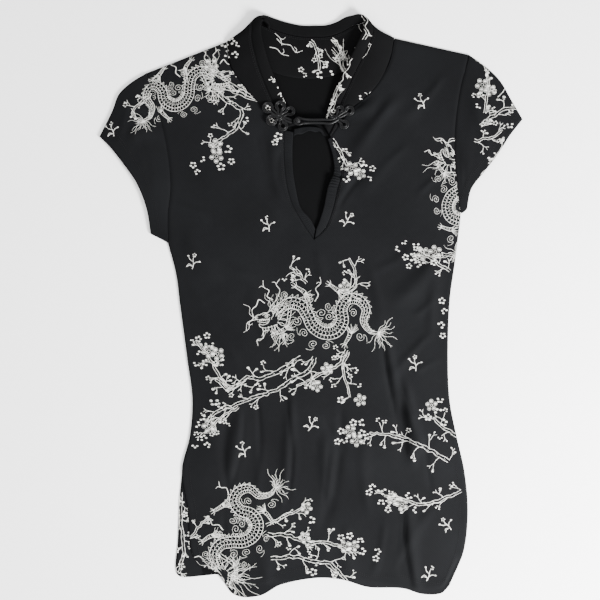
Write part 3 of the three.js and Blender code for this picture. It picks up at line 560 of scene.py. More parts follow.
def front_middle(sections, across, x, y):
    """Height of the middle of the front's cloth, before its edges roll over."""
    in_from_seam = smooth(across / 0.22)
    below_shoulder = smooth((SHOULDER - sections) / 3)
    above_hem = 0.35 + 0.65 * smooth(sections / 2)
    loft = BODY_LOFT * in_from_seam * below_shoulder * above_hem
    up_armhole = np.clip((sections - UNDERARM) / (SHOULDER - UNDERARM), 0, 1)
    armhole = ARMHOLE_LIFT * (1 - in_from_seam) * np.sin(math.pi * up_armhole)
    neck = NECK_LIFT * across ** 2 * smooth((sections - NECK_POINT) / 3)
    creases = creased(x, y) + 0.22 * noise_wave(x, y, 11, 34) + 0.1 * noise_wave(x, y, 12, 13)
    folds = creases * (0.15 + 0.85 * in_from_seam) * below_shoulder
    return FRONT_MIDDLE + np.maximum(0, loft + armhole + neck + folds)


def roll(distance, radius):
    """How far over an edge has rolled: 1 at the edge and 0 past the radius."""
    return 1 - np.sqrt(1 - (1 - np.clip(distance / radius, 0, 1)) ** 2)


# The front's mesh: how far apart its rows are, the extra rows below the shoulder, its columns,
# and the extra columns near each edge, in millimetres of a half as wide as this.
ROW_PITCH = 2.6
SHOULDER_ROWS = (0.08, 0.2, 0.34)
FRONT_COLUMNS = 64
EDGE_COLUMNS = (0.6, 1.4, 2.6, 4.2)
HALF_WIDTH = 160


def front_half(side):
    """One half of the front, from the side seam to the centre line, the keyhole or the neck."""
    seams = np.stack([seam(one, np.arange(SHOULDER + 1.0)) for one in ("left", "right")])
    lengths = np.linalg.norm(np.diff(seams, axis=1), axis=2).max(0)
    steps = np.maximum(3, np.round(lengths / ROW_PITCH)).astype(int)
    rows = [row + np.arange(count) / count for row, count in enumerate(steps)]
    sections = np.concatenate(rows + [[SHOULDER]])
    sections = np.unique(np.concatenate([sections, SHOULDER - np.array(SHOULDER_ROWS)]))
    edges = np.array(EDGE_COLUMNS) / HALF_WIDTH
    across = np.unique(np.concatenate([np.linspace(0, 1, FRONT_COLUMNS), edges, 1 - edges]))
    section, place = np.meshgrid(sections, across, indexing="ij")
    plan, width = front_plan(side, section, place)
    x, y = plan[..., 0], plan[..., 1]
    height = front_middle(section, place, x, y)
    height = np.maximum(height, FRONT_MIDDLE - DEEPEST_TROUGH)
    from_seam = place * width
    from_inner = (1 - place) * width
    resting = BACK_MIDDLE + KNIT_THICKNESS + CLOTH_GAP
    side_seam = smooth((UNDERARM + 0.15 - section) / 0.4)
    over = roll(from_seam, SIDE_ROLL) * side_seam
    shoulder_roll = roll((SHOULDER - section) * SHOULDER_SECTION, SHOULDER_ROLL)
    over = np.maximum(over, shoulder_roll)
    height = height + (resting - height) * over
    dip = np.exp(-(from_seam / SEAM_DIP_WIDTH) ** 2) * (1 - side_seam)
    opened = smooth((section - UNDERARM) / 0.6)
    dip = dip + np.exp(-(from_inner / SEAM_DIP_WIDTH) ** 2) * opened
    height = height - SEAM_DIP * dip * (1 - shoulder_roll)
    over_back = np.clip(x, BACK_LOWER_EDGE[0][0], BACK_LOWER_EDGE[-1][0])
    below_back = smooth((look_up(BACK_LOWER_EDGE, over_back) - 3 - y) / 9)
    height = height + (BACK_MIDDLE - height) * below_back * 0.9
    return np.dstack([plan, height])


front = cloth("front", [front_half("left"), front_half("right")], KNIT_THICKNESS, [knit, knit_wrong_side_painted_shade])
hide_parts("front_panel")


# Each cap sleeve is one piece of the printed knit, sewn into the armhole and folded flat along
# its underarm and its top. Its hem is turned up 10 mm and held by two rows of stitches. A crease
# is its ends' shares of the way to the hem, their shares of the way down, its rise and its width.
SLEEVE_LOFT = 2.6
SLEEVE_MIDDLE = 0.45
ARMHOLE_GAP = 0.2
SLEEVES = {
    "left": {
        "side": -1,
        "upper": ((-209, 256), (-222, 243), (-229, 225)),
        "hem": ((-244, 195), (-231, 182), (-216, 163), (-201, 141), (-190, 113), (-185, 83)),
        "underarm": ((-175, 78),),
        "creases": (
            ((0.6, 0.02), (0.08, 0.4), 1.7, 0.035),
            ((0.5, 0.02), (0.15, 0.47), -1.2, 0.03),
            ((0.05, 0.75), (0.52, 0.34), 1.9, 0.055),
            ((0.0, 0.6), (0.6, 0.44), -0.6, 0.045),
            ((0.2, 0.9), (0.16, 0.22), 0.9, 0.05),
            ((0.0, 0.7), (0.78, 0.7), 0.8, 0.06),
            ((0.0, 0.45), (0.9, 0.86), 0.5, 0.03),
        ),
    },
    "right": {
        "side": 1,
        "upper": ((202, 274), (217, 259), (230, 237)),
        "hem": ((243, 215), (228, 196), (215, 176), (200, 156), (184, 135), (179, 112)),
        "underarm": ((175, 108),),
        "creases": (
            ((0.25, 1.0), (0.22, 0.3), 1.2, 0.055),
            ((0.2, 1.0), (0.45, 0.5), 1.4, 0.055),
            ((0.0, 0.7), (0.7, 0.72), 0.8, 0.06),
            ((0.1, 0.8), (0.34, 0.38), -0.5, 0.04),
            ((0.0, 0.5), (0.88, 0.84), 0.5, 0.035),
        ),
    },
}


def armhole(side, across):
    """The armhole seam on the sleeve's side, from the shoulder to the underarm."""
    section = SHOULDER + (UNDERARM + 0.02 - SHOULDER) * np.asarray(across, float)
    run = seam(side, section + 0.01) - seam(side, section - 0.01)
    run /= np.linalg.norm(run, axis=-1, keepdims=True)
    outward = np.stack([run[..., 1], -run[..., 0]], -1) * SLEEVES[side]["side"]
    return seam(side, np.clip(section, 0, SHOULDER)) + outward * ARMHOLE_GAP


def sleeve_plan(side, across, along):
    sleeve = SLEEVES[side]
    hem = np.array(sleeve["hem"], float)
    top = np.vstack([armhole(side, [0.0]), sleeve["upper"], hem[:1]])
    under = np.vstack([armhole(side, [1.0]), sleeve["underarm"], hem[-1:]])
    hem_place = spline(hem, across * (len(hem) - 1))
    start = armhole(side, across)
    share, there = along[..., None], across[..., None]
    ruled = start * (1 - share) + hem_place * share
    sides = spline(top, along * (len(top) - 1)) * (1 - there)
    sides = sides + spline(under, along * (len(under) - 1)) * there
    starts = top[0] * (1 - there) + under[0] * there
    ends = top[-1] * (1 - there) + under[-1] * there
    return ruled + sides - (starts * (1 - share) + ends * share)


def sleeve_width(side, along):
    """The sleeve's whole width at each place along it."""
    upper, under = (sleeve_plan(side, np.full_like(along, across), along) for across in (0.0, 1.0))
    return np.linalg.norm(upper - under, axis=-1)


def sleeve_length(side, across):
    """From the armhole to the hem at each place across."""
    start, end = (sleeve_plan(side, across, np.full_like(across, along)) for along in (0.0, 1.0))
    return np.linalg.norm(end - start, axis=-1)


def sleeve_top(side, across, along):
    """Height of the middle of the sleeve's upper layer."""
    bow = np.sin(math.pi * np.clip(across, 0, 1)) ** 0.8
    loft = (ARMHOLE_LIFT + (SLEEVE_LOFT - ARMHOLE_LIFT) * smooth(along * 2.2)) * bow
    near_hem = 1 - 0.3 * smooth((along - 0.75) / 0.25)
    creases = np.zeros(np.shape(across))
    for (start, end), (first, last), rise, width in SLEEVES[side]["creases"]:
        t = (along - start) / (end - start)
        off = across - (first + (last - first) * t)
        fade = smooth((t + 0.15) / 0.4) * smooth((1.15 - t) / 0.4)
        creases = creases + rise * fade * np.exp(-(off / width) ** 2)
    ripple = 0.12 * noise_wave(across * 120, along * 60, 21 + SLEEVES[side]["side"], 22)
    return FRONT_MIDDLE + near_hem * loft + (creases + ripple) * bow


SLEEVE_COLUMNS = 76
TURN_COLUMNS = 8


def sleeve_grid(side):
    """Once round the sleeve: its lower layer, the fold at its top, its upper layer and the underarm."""
    along = np.unique(np.concatenate([np.linspace(0, 1, 30), [0.012, 0.024, 0.05]]))
    turn = (FRONT_MIDDLE - SLEEVE_MIDDLE) / 2
    inset = (turn + KNIT_THICKNESS / 2) / sleeve_width(side, along)
    share = np.linspace(0, 1, SLEEVE_COLUMNS)
    columns = []

    def add_column(across, height):
        columns.append(np.column_stack([sleeve_plan(side, across, along), np.full_like(along, height)]))

    for one in share[::-1]:
        add_column(inset + (1 - 2 * inset) * one, SLEEVE_MIDDLE)
    for number in range(1, TURN_COLUMNS):
        angle = math.pi * number / TURN_COLUMNS
        add_column(inset - inset * 0.9 * math.sin(angle), SLEEVE_MIDDLE + turn * (1 - math.cos(angle)))
    for one in share:
        across = inset + (1 - 2 * inset) * one
        reach = along * sleeve_length(side, across)
        dip = SEAM_DIP * np.exp(-(reach / SEAM_DIP_WIDTH) ** 2) * math.sin(math.pi * one) ** 0.5
        add_column(across, sleeve_top(side, np.full_like(along, one), along) - dip)
    for number in range(1, TURN_COLUMNS):
        angle = math.pi * number / TURN_COLUMNS
        add_column(1 - inset + inset * 0.9 * math.sin(angle), SLEEVE_MIDDLE + turn * (1 + math.cos(angle)))
    grid = np.stack(columns, 1)
    return grid[:, ::-1] if side == "left" else grid


sleeves = {}
for side, name in (("left", "sleeve_left"), ("right", "sleeve_right")):
    piece = cloth(name + "_cloth", [sleeve_grid(side)], KNIT_THICKNESS, [knit, knit_wrong_side_painted_shade],
                  wrapped=True, face_up=False)
    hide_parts(name)
    sleeves[side] = piece


# The collar is a stand of two layers of printed knit, with a turned band of plain knit along its
# top edge. It is sewn to the neckline, folds over the shoulders and lies open in two wings.
COLLAR_THICKNESS = 1.1
COLLAR_CLOTH = 1.4
NECK_GAP = 0.3
NECK_LAP = 1.2
NECK_FOLD_GAP = 1.2
COLLAR_BAND_WIDTH = 13
BAND_GAP = 0.25

# From the left front end round the back to the right front end: the part, the place along the
# neckline (a body section on the wings, an x round the back) and the upper edge.
COLLAR_SECTIONS = (
    ("left", 15, (-15, 209, 3.7)),
    ("left", 15.5, (-22, 219, 3.8)),
    ("left", 16, (-33, 240, 4.1)),
    ("left", 16.5, (-41, 258, 5.8)),
    ("left", 17, (-48, 275, 7.8)),
    ("left", 17.6, (-54, 294, 9.0)),
    ("left", 18.4, (-58, 314, 8.8)),
    ("left", 18.8, (-57, 326, 8.4)),
    ("left fold", 19, (-56, 332.4, 6.8)),
    ("back", -92, (-52, 333.6, 4.4)),
    ("back", -84, (-46, 332, 2.4)),
    ("back", -72, (-38, 329.5, 1.2)),
    ("back", -50, (-24, 325.5, 1.0)),
    ("back", -25, (-10, 323, 1.0)),
    ("back", 0, (4, 323, 1.0)),
    ("back", 25, (17, 323.5, 1.0)),
    ("back", 48, (29, 327, 1.8)),
    ("back", 70, (39, 332, 3.2)),
    ("back", 83, (47, 333.5, 5.2)),
    ("back", 91, (54, 334.5, 7.4)),
    ("right fold", 19, (59.5, 332, 9.0)),
    ("right", 18.8, (61, 326, 9.4)),
    ("right", 18.4, (59, 316, 10.2)),
    ("right", 17.6, (51, 297, 10.4)),
    ("right", 17, (42, 279, 9.0)),
    ("right", 16.5, (34, 262, 6.4)),
    ("right", 16, (25, 243, 4.2)),
    ("right", 15.5, (18, 222, 3.8)),
    ("right", 15, (14, 208, 3.7)),
)


def collar_foot(part, at):
    """Where the collar's lower edge lies, just inside the neckline's seam."""
    if part == "back":
        slope = (back_neck(at + 1) - back_neck(at - 1)) / 2
        inward = np.array([-slope, 1.0]) / math.hypot(slope, 1)
        on_back = BACK_MIDDLE + KNIT_THICKNESS / 2 + COLLAR_THICKNESS / 2 + CLOTH_GAP
        return [*(np.array([at, back_neck(at)]) - inward * NECK_LAP), on_back]
    side = part.split(" ")[0]
    sign = 1 if side == "left" else -1
    edge = inner_edge(side, np.array([float(at)]))[0]
    middle = front_middle(np.array([float(at)]), np.ones(1), edge[:1], edge[1:])[0]
    if part.endswith("fold"):
        place = edge + np.array([sign * 0.85, 0.53]) * NECK_FOLD_GAP * 1.16
        return [*place, (COLLAR_CLOTH / 2 + middle) / 2]
    run = inner_edge(side, np.array([at + 0.02]))[0] - inner_edge(side, np.array([at - 0.02]))[0]
    inward = np.array([run[1], -run[0]]) / np.hypot(*run) * sign
    towards_fold = smooth((at - COLLAR_SIDE) / 2)
    gap = NECK_GAP + (NECK_FOLD_GAP - NECK_GAP) * towards_fold
    return [*(edge + inward * gap), middle - SEAM_DIP * 0.8 * (1 - towards_fold)]


collar_feet = np.array([collar_foot(part, at) for part, at, _ in COLLAR_SECTIONS])
collar_tops = np.array([top for _, _, top in COLLAR_SECTIONS], float)
COLLAR_LAST = len(COLLAR_SECTIONS) - 1
BACK_START = 8.0
BACK_END = 20.0

# How far the two folds swell out of a straight line between the shoulder and the peak.
COLLAR_FOLDS = (
    {"place": 8, "way": (-0.59, 0.81), "low": -1.5, "high": 3.4},
    {"place": 20, "way": (0.56, 0.83), "low": -4.0, "high": 1.4},
)


def collar_point(place, up):
    """A point of the collar: up is 0 at the neckline and 1 at the upper edge."""
    foot, top = spline(collar_feet, place), spline(collar_tops, place)
    point = foot + (top - foot) * up[..., None]
    for fold in COLLAR_FOLDS:
        near = np.exp(-((place - fold["place"]) / 1.3) ** 2)
        swell = fold["low"] * np.sin(math.pi * up) + fold["high"] * np.sin(math.pi * up ** 3)
        point[..., :2] += (near * swell)[..., None] * np.array(fold["way"])
    point[..., 2] = np.maximum(point[..., 2], COLLAR_CLOTH / 2)
    return point


def collar_width(place):
    return np.linalg.norm(spline(collar_tops, place) - spline(collar_feet, place), axis=-1)


def collar_strip(start, end, columns, height):
    """A strip of the collar between two heights, each an array over the places along it."""
    share = np.linspace(0, 1, columns)
    up = start[:, None] + (end - start)[:, None] * share
    along = np.repeat(collar_places[:, None], columns, 1)
    grid = collar_point(along, up)
    on_back = smooth((along - BACK_START) / 1.5) * smooth((BACK_END - along) / 1.5)
    bow = np.sin(math.pi * share)[None, :] ** 0.7 * (1 - 0.75 * on_back)
    soft = 0.25 * noise_wave(grid[..., 0], grid[..., 1], 41, 26)
    grid[..., 2] += height * bow + soft * (1 - on_back) * smooth(share * 6)[None, :]
    return grid


collar_places = np.unique(np.concatenate([
    np.linspace(0, COLLAR_LAST, 190), np.linspace(7.4, 10, 40), np.linspace(19, 21.6, 40)]))
band_seam = 1 - COLLAR_BAND_WIDTH / collar_width(collar_places)
stand_grid = collar_strip(np.zeros_like(collar_places), band_seam, 26, 1.5)
band_start = band_seam + BAND_GAP / collar_width(collar_places)
band_grid = collar_strip(band_start, np.ones_like(collar_places), 12, 0.9)
stand = cloth("collar_stand_cloth", [stand_grid], COLLAR_THICKNESS, [collar_knit_painted_shade], face_up=False)
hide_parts("collar_stand")
band = cloth("collar_band_cloth", [band_grid], COLLAR_THICKNESS, [collar_knit_painted_shade], face_up=False)
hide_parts("collar_band")


# The keyhole is bound with strips of plain knit: the left one lies flat and the right one is
# turned under near its top and gathered. A short plain tab joins them under the frog.
KEYHOLE_EDGES = {
    "left": ((4.6, 88), (-1, 99), (-12.5, 113), (-18, 134), (-21.5, 157), (-22, 180), (-21, 201)),
    "right": ((5.6, 88), (9, 97), (14, 113), (19, 137), (26, 155), (24.5, 173), (18.5, 193)),
}
BINDING_RIBS = 44
BINDING_ROWS = 210
BINDING_COLUMNS = 12
GATHERS_AT = UNDERARM + 3.55
for side, edge_points in KEYHOLE_EDGES.items():
    section = np.linspace(UNDERARM + 0.06, NECK_POINT - 0.06, BINDING_ROWS)
    seam_line = inner_edge(side, section)
    open_line = spline(edge_points, section - UNDERARM)
    gap = 0.25 / np.linalg.norm(seam_line - open_line, axis=-1)
    share = np.linspace(0, 1, BINDING_COLUMNS)
    start = seam_line + (open_line - seam_line) * gap[:, None]
    plan = start[:, None] + (open_line - start)[:, None] * share[None, :, None]
    middle = front_middle(section, np.ones_like(section), seam_line[:, 0], seam_line[:, 1])
    across = np.sin(math.pi * share)
    rib_turns = np.linspace(0, BINDING_RIBS * math.tau, BINDING_ROWS)
    ribs = np.sin(rib_turns + 0.8 * np.sin(section * 2.3))[:, None]
    height = middle[:, None] - SEAM_DIP * (1 - share) ** 2 - 0.3 * share ** 4 + 0.12 * ribs * across
    if side == "right":
        gathered = np.exp(-((section - GATHERS_AT) / 0.55) ** 2)[:, None]
        puckers = np.sin(0.75 * rib_turns + np.sin(section * 4))[:, None]
        height = height + gathered * (0.75 * puckers + 0.3) * (across + 0.4 * share)
        plan[..., 0] += gathered * puckers * 0.6 * share
    grid = np.dstack([plan, height])
    piece = cloth(f"keyhole_binding_{side}", [grid], KNIT_THICKNESS, [knit, knit_wrong_side_painted_shade])
    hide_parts(f"keyhole_band_{side}")

TAB_UPPER = ((-20.2, 203.5), (-8, 206), (3, 206), (9.5, 204.5), (12.5, 202.5))
TAB_LOWER = ((-20.8, 195), (-10, 199), (3, 201), (11.5, 199), (16.5, 194))
tab_place = np.linspace(0, len(TAB_UPPER) - 1, 34)
tab_upper, tab_lower = spline(TAB_UPPER, tab_place), spline(TAB_LOWER, tab_place)
tab_share = np.linspace(0, 1, 8)
tab_plan = tab_lower[:, None] + (tab_upper - tab_lower)[:, None] * tab_share[None, :, None]
tab_ruffle = np.sin(tab_place * 5.2)[:, None] * (1 - tab_share)
tab_plan[..., 1] += 0.9 * tab_ruffle
tab_height = 2.9 + 0.35 * tab_ruffle + 0.2 * noise_wave(tab_plan[..., 0], tab_plan[..., 1], 31, 7)
tab = cloth("neck_tab_cloth", [np.dstack([tab_plan, tab_height])], KNIT_THICKNESS, [knit, knit_wrong_side_painted_shade])
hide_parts("neck_tab")


# The frog is satin cord, looped and sewn down by hand: a five-petal flower with a short tail and a
# knotted button on the left, and a trefoil with a button loop on the right. The tails and the
# button loop are 3 mm cord. The petals are 1.9 mm cord, the wider ones in two turns side by side.
CORD_RADIUS = 1.5
PETAL_CORD_RADIUS = 0.95
INNER_TURN = 1.8
DOUBLED_OVER = 4
CORD_HEIGHT = 6.3
CORD_SIDES = 14
SATIN_BLACK = (0.0010, 0.0010, 0.0012, 1)
SATIN_GREY = (0.0046, 0.0047, 0.0051, 1)
FLOWER_CENTRE = (-37, 217)
FLOWER_LOOPS = (
    ((-50, 227.4), 5.8), ((-35.8, 229.0), 5.5), ((-24.6, 223.2), 5.0), ((-45.6, 213.0), 5.8),
    ((-32.8, 206.4), 5.1),
)
TREFOIL_CENTRE = (29, 215.5)
TREFOIL_LOOPS = (((32.6, 225.0), 4.2), ((43.4, 223.8), 4.9), ((37.4, 208.2), 4.7), ((22.6, 218.6), 2.3))
BUTTON = (-16, 211.6)
LOOP_ROUND = 3.55
LOOP_HALF = 1.9
OVER_FOOT = CORD_HEIGHT + 1.1
LOOP_TOP = OVER_FOOT + CORD_RADIUS + 0.3
BALL_MIDDLE = LOOP_TOP + 2.3
BALL_RADIUS = 2.9
BALL_CORD_RADIUS = 0.85
BALL_TILT = 24


def unit_rows(vectors):
    return vectors / np.linalg.norm(vectors, axis=1, keepdims=True)


def skin(rings):
    """Four-sided faces between rows of point numbers, each row closed round."""
    after = np.roll(rings, -1, 1)
    return np.stack([rings[:-1], after[:-1], after[1:], rings[1:]], -1).reshape(-1, 4)


def tube(points, radius, sides=CORD_SIDES):
    """Points and faces of a round cord along points, with closed ends."""
    points = np.asarray(points, float)
    run = unit_rows(np.gradient(points, axis=0))
    side = unit_rows(np.cross(run, (0, 0, 1.0)))
    top = np.cross(side, run)
    angle = np.arange(sides) * math.tau / sides
    radius = np.broadcast_to(radius, len(points))[:, None, None]
    ring = side[:, None] * np.cos(angle)[None, :, None] + top[:, None] * np.sin(angle)[None, :, None]
    index = np.arange(len(points) * sides).reshape(-1, sides)
    faces = skin(index)[:, [0, 3, 2, 1]].tolist()
    faces += [index[0].tolist(), index[-1][::-1].tolist()]
    return (points[:, None] + ring * radius).reshape(-1, 3), faces


def hoop(line, radius, sides):
    """A ring of cord round any axis, its sides laid out from the ring's own middle."""
    run = unit_rows(np.roll(line, -1, 0) - np.roll(line, 1, 0))
    outward = unit_rows(line - line.mean(0))
    other = np.cross(run, outward)
    angle = np.arange(sides) * math.tau / sides
    ring = outward[:, None] * np.cos(angle)[None, :, None] + other[:, None] * np.sin(angle)[None, :, None]
    index = np.arange(len(line) * sides).reshape(-1, sides)
    return (line[:, None] + ring * radius).reshape(-1, 3), skin(np.vstack([index, index[:1]])).tolist()


def smooth_piece(name, points, faces, material):
    piece = add_object(name, points, faces, [material])
    piece.data.shade_smooth()
    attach(piece, "root")
    return piece


def joined_piece(name, parts, material):
    """One object from many small solids, each given as points and faces."""
    points, faces, start = [], [], 0
    for vertices, some in parts:
        points.append(vertices)
        faces += [[start + i for i in face] for face in some]
        start += len(vertices)
    return smooth_piece(name, ((np.vstack(points) + SHIFT) * MM).tolist(), faces, material)


def loop_of_cord(centre, middle, radius, height):
    """A loop of cord: out from the flower's centre, round its own middle and back."""
    run = np.subtract(middle, centre)
    away = run / np.hypot(*run)
    side = left_of(away)
    angle = np.radians(np.linspace(-152, 152, 15))
    head = np.array(middle) + radius * (np.cos(angle)[:, None] * away + np.sin(angle)[:, None] * side)
    root = np.array(centre) + away * 0.6
    start, end = root - side * 0.7, root + side * 0.7
    way_out = (start + head[0]) / 2 - side * 0.2
    way_back = (end + head[-1]) / 2 + side * 0.2
    plan = np.vstack([start, way_out, head, way_back, end])
    path = spline(plan, np.linspace(0, len(plan) - 1, 70))
    return np.column_stack([path, height + np.linspace(0, 0.5, 70)])


def frog_loops(centre, loops):
    """The cords of one side's loops; a wide loop is two turns of cord, one inside the other."""
    cords = []
    for number, (middle, radius) in enumerate(loops):
        height = CORD_HEIGHT + 0.35 * (number % 2)
        for turn in (radius, radius - INNER_TURN) if radius > DOUBLED_OVER else (radius,):
            cords.append(tube(loop_of_cord(centre, middle, turn, height), PETAL_CORD_RADIUS))
    return cords


def cord_run(points, count):
    return spline(points, np.linspace(0, len(points) - 1, count))


def finder(target, below=False):
    """What finds the cloth's upper or lower side at a place in plan: the point there and its normal."""
    tree = BVHTree.FromObject(target, bpy.context.evaluated_depsgraph_get())
    direction = Vector((0, 0, 1 if below else -1))
    start = -0.02 if below else 0.06

    def find(x, y):
        return tree.ray_cast(Vector(((x + SHIFT[0]) * MM, (y + SHIFT[1]) * MM, start)), direction)[:2]

    return find


satin, satin_tree, satin_shader = surface("black_satin_cord", Roughness=0.3, Specular_IOR_Level=0.17)
satin_place = object_place(satin_tree)
two_toned(satin_tree, satin_shader, noise(satin_tree, 700.0, 3.0, satin_place), SATIN_BLACK, SATIN_GREY)
satin_wave = node(satin_tree, "ShaderNodeTexWave", {"bands_direction": "DIAGONAL"}, {
    "Vector": satin_place, "Scale": 420.0, "Distortion": 2.0})
bumped(satin_tree, satin_shader, satin_wave.outputs["Fac"], strength=0.35, depth=0.0002)

# The collar's edge has rolled in on itself at the left peak: places in plan, and the roll's radius.
ROLLED_END = (
    (-57, 327.5, 1.0), (-54.6, 328.6, 1.7), (-51.6, 326, 2.1), (-49.6, 321.6, 2.0), (-48.6, 316.5, 1.1),
)
PEAK_HEIGHT = 6.5
rolled = cord_run(ROLLED_END, 40)
find_band = finder(band)
found = [find_band(x, y)[0] for x, y in rolled[:, :2]]
rolled_height = np.array([PEAK_HEIGHT if place is None else place.z / MM for place in found])
rolled_line = np.column_stack([rolled[:, :2], rolled_height - SHIFT[2] + 0.4])
joined_piece("collar_rolled_end", [tube(rolled_line, rolled[:, 2], 16)], collar_knit_painted_shade)

flower_cords = frog_loops(FLOWER_CENTRE, FLOWER_LOOPS)
knot_angle = np.linspace(0, 1.9 * math.tau, 60)
knot_reach = np.linspace(1.2, 4.0, 60)
flower_cords.append(tube(np.column_stack([
    FLOWER_CENTRE[0] + np.cos(knot_angle) * knot_reach, FLOWER_CENTRE[1] + np.sin(knot_angle) * knot_reach,
    CORD_HEIGHT + 1.5 - 0.2 * knot_reach]), PETAL_CORD_RADIUS))
for off in (1.5, -1.5):
    flower_cords.append(tube(cord_run([
        (FLOWER_CENTRE[0], FLOWER_CENTRE[1] - off, CORD_HEIGHT),
        (-29, 214 + off, CORD_HEIGHT),
        (BUTTON[0] - 7.2, BUTTON[1] + off, CORD_HEIGHT),
    ], 24), CORD_RADIUS))
flower = joined_piece("frog_flower_cord", flower_cords, satin)
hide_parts("frog_flower")

loop_cords = frog_loops(TREFOIL_CENTRE, TREFOIL_LOOPS)
loop_cords.append(tube(cord_run([
    (TREFOIL_CENTRE[0] + 1, TREFOIL_CENTRE[1] + 1, CORD_HEIGHT),
    (22, 211.8 + LOOP_HALF, CORD_HEIGHT),
    (12, BUTTON[1] + LOOP_HALF, CORD_HEIGHT),
    (-2, BUTTON[1] + LOOP_HALF, CORD_HEIGHT),
    (-9.5, BUTTON[1] + LOOP_HALF + 0.6, OVER_FOOT - 0.3),
    (BUTTON[0], BUTTON[1] + LOOP_ROUND, OVER_FOOT),
    (BUTTON[0] - LOOP_ROUND, BUTTON[1], OVER_FOOT),
    (BUTTON[0], BUTTON[1] - LOOP_ROUND, OVER_FOOT),
    (-9.5, BUTTON[1] - LOOP_HALF - 0.6, OVER_FOOT - 0.3),
    (-2, BUTTON[1] - LOOP_HALF, CORD_HEIGHT),
    (12, BUTTON[1] - LOOP_HALF, CORD_HEIGHT),
    (22, 211.2 - LOOP_HALF, CORD_HEIGHT),
    (TREFOIL_CENTRE[0] + 2, TREFOIL_CENTRE[1] - 1.5, CORD_HEIGHT),
], 150), CORD_RADIUS))
loop = joined_piece("frog_loop_cord", loop_cords, satin)
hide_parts("frog_loop")


def knot(centre, height, size):
    """The button: a monkey's-fist knot, three sets of three turns of cord round a ball."""
    turns = []
    angle = np.arange(40) * math.tau / 40
    ahead = ray_of(math.radians(BALL_TILT))
    spin = np.array([[*ahead, 0], [*left_of(ahead), 0], [0, 0, 1]])
    for axis in range(3):
        for off in (-1, 0, 1):
            lift = off * size * 0.42
            reach = math.sqrt(size ** 2 - lift ** 2) * (1 + 0.05 * ((axis + off) % 2))
            line = np.column_stack([np.cos(angle) * reach, np.sin(angle) * reach, np.full(40, lift)])
            turns.append(np.roll(line, axis, 1) @ spin + (*centre, height))
    return turns


# The stem under the knot, and the core inside it: radii and heights.
STEM = (
    (3.2, 4.8), (3.2, 5.6), (1.6, 5.8), (1.6, 7.0), (1.6, LOOP_TOP), (2.6, LOOP_TOP + 0.6),
    (3.0, BALL_MIDDLE), (2.4, BALL_MIDDLE + 1.8),
)
STEM_SIDES = 16
stem_angle = np.arange(STEM_SIDES) * math.tau / STEM_SIDES
stem_points = np.concatenate([np.column_stack([
    BUTTON[0] + np.cos(stem_angle) * radius,
    BUTTON[1] + np.sin(stem_angle) * radius,
    np.full(STEM_SIDES, height),
]) for radius, height in STEM])
stem_index = np.arange(len(stem_points)).reshape(-1, STEM_SIDES)
stem_faces = skin(stem_index).tolist() + [stem_index[0][::-1].tolist(), stem_index[-1].tolist()]
button_parts = [hoop(line, BALL_CORD_RADIUS, 8) for line in knot(BUTTON, BALL_MIDDLE, BALL_RADIUS)]
button = joined_piece("frog_button_knot", [*button_parts, (stem_points, stem_faces)], satin)
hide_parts("frog_button")


# The print is cream ink on the black knit: dragons with flames, plum branches with blossoms and
# buds, and small sprigs. Every stroke is a ribbon of ink that lies on the cloth it is printed on.
INK_STEP = 0.95
INK_WIDTH = 0.75
INK_SHARE = 0.86
INK_RAISED = 0.11
INK_SUNK = 0.03
INK_CREAM = (0.52, 0.515, 0.485, 1)
INK_GREY = (0.25, 0.25, 0.235, 1)

# A ribbon of ink is cut where the cloth turns steeper than this, or steps by more millimetres.
STEEPEST_PRINT = 0.35
LARGEST_STEP = 1.6


ink, ink_tree, ink_shader = surface("cream_print_ink", Roughness=0.75, Specular_IOR_Level=0.25)
ink_knit = fine_knit(ink_tree)
ink_wear = noise(ink_tree, 260.0, 4.0, object_place(ink_tree))
ink_range = {"Value": ink_wear, "From Min": 0.38, "From Max": 0.55}
ink_mask = node(ink_tree, "ShaderNodeMapRange", inputs=ink_range)
two_toned(ink_tree, ink_shader, ink_mask.outputs[0], INK_GREY, INK_CREAM)
bumped(ink_tree, ink_shader, ink_knit.outputs["Height"], strength=0.4, depth=0.0001)


def stroke(points, width=INK_WIDTH, end=None):
    """A smooth pen stroke through points, tapering to its end's width."""
    points = np.asarray(points, float)
    length = np.linalg.norm(np.diff(points, axis=0), axis=1).sum()
    count = max(3, int(length / INK_STEP) + 1)
    path = spline(points, np.linspace(0, len(points) - 1, count))
    return path, np.linspace(width, width if end is None else end, count)


def ring(centre, radius, width=INK_WIDTH):
    angle = np.linspace(0, math.tau, max(9, int(math.tau * radius / INK_STEP) + 1))
    path = np.column_stack([np.cos(angle), np.sin(angle)]) * radius + centre
    return path, np.full(len(angle), float(width))


def dot(centre, radius):
    """A filled spot: one short stroke as wide as it is long."""
    off = np.linspace(-0.96, 0.96, 6)
    path = np.column_stack([off * radius, np.zeros(6)]) + centre
    return path, 2 * radius * np.sqrt(1 - off ** 2)


def placed(strokes, at, turn=0.0, size=1.0, flip=1):
    """Strokes flipped, scaled, turned by degrees and moved."""
    angle = math.radians(turn)
    spin = np.array([[math.cos(angle), math.sin(angle)], [-math.sin(angle), math.cos(angle)]]) * size
    return [((path * (1, flip)) @ spin + at, widths) for path, widths in strokes]


def blossom(centre, size, turn=0.0):
    """A five-petal plum blossom: full petals with gaps between them, round an open ring."""
    strokes = []
    for one in range(5):
        way = turn + one * math.tau / 5
        ray = ray_of(way)
        strokes.append(dot(centre + ray * size * 0.66, size * 0.22))
        strokes.append(ring(centre + ray * size * 0.66, size * 0.29, 0.5))
    strokes.append(ring(centre, size * 0.2, 0.6))
    return strokes


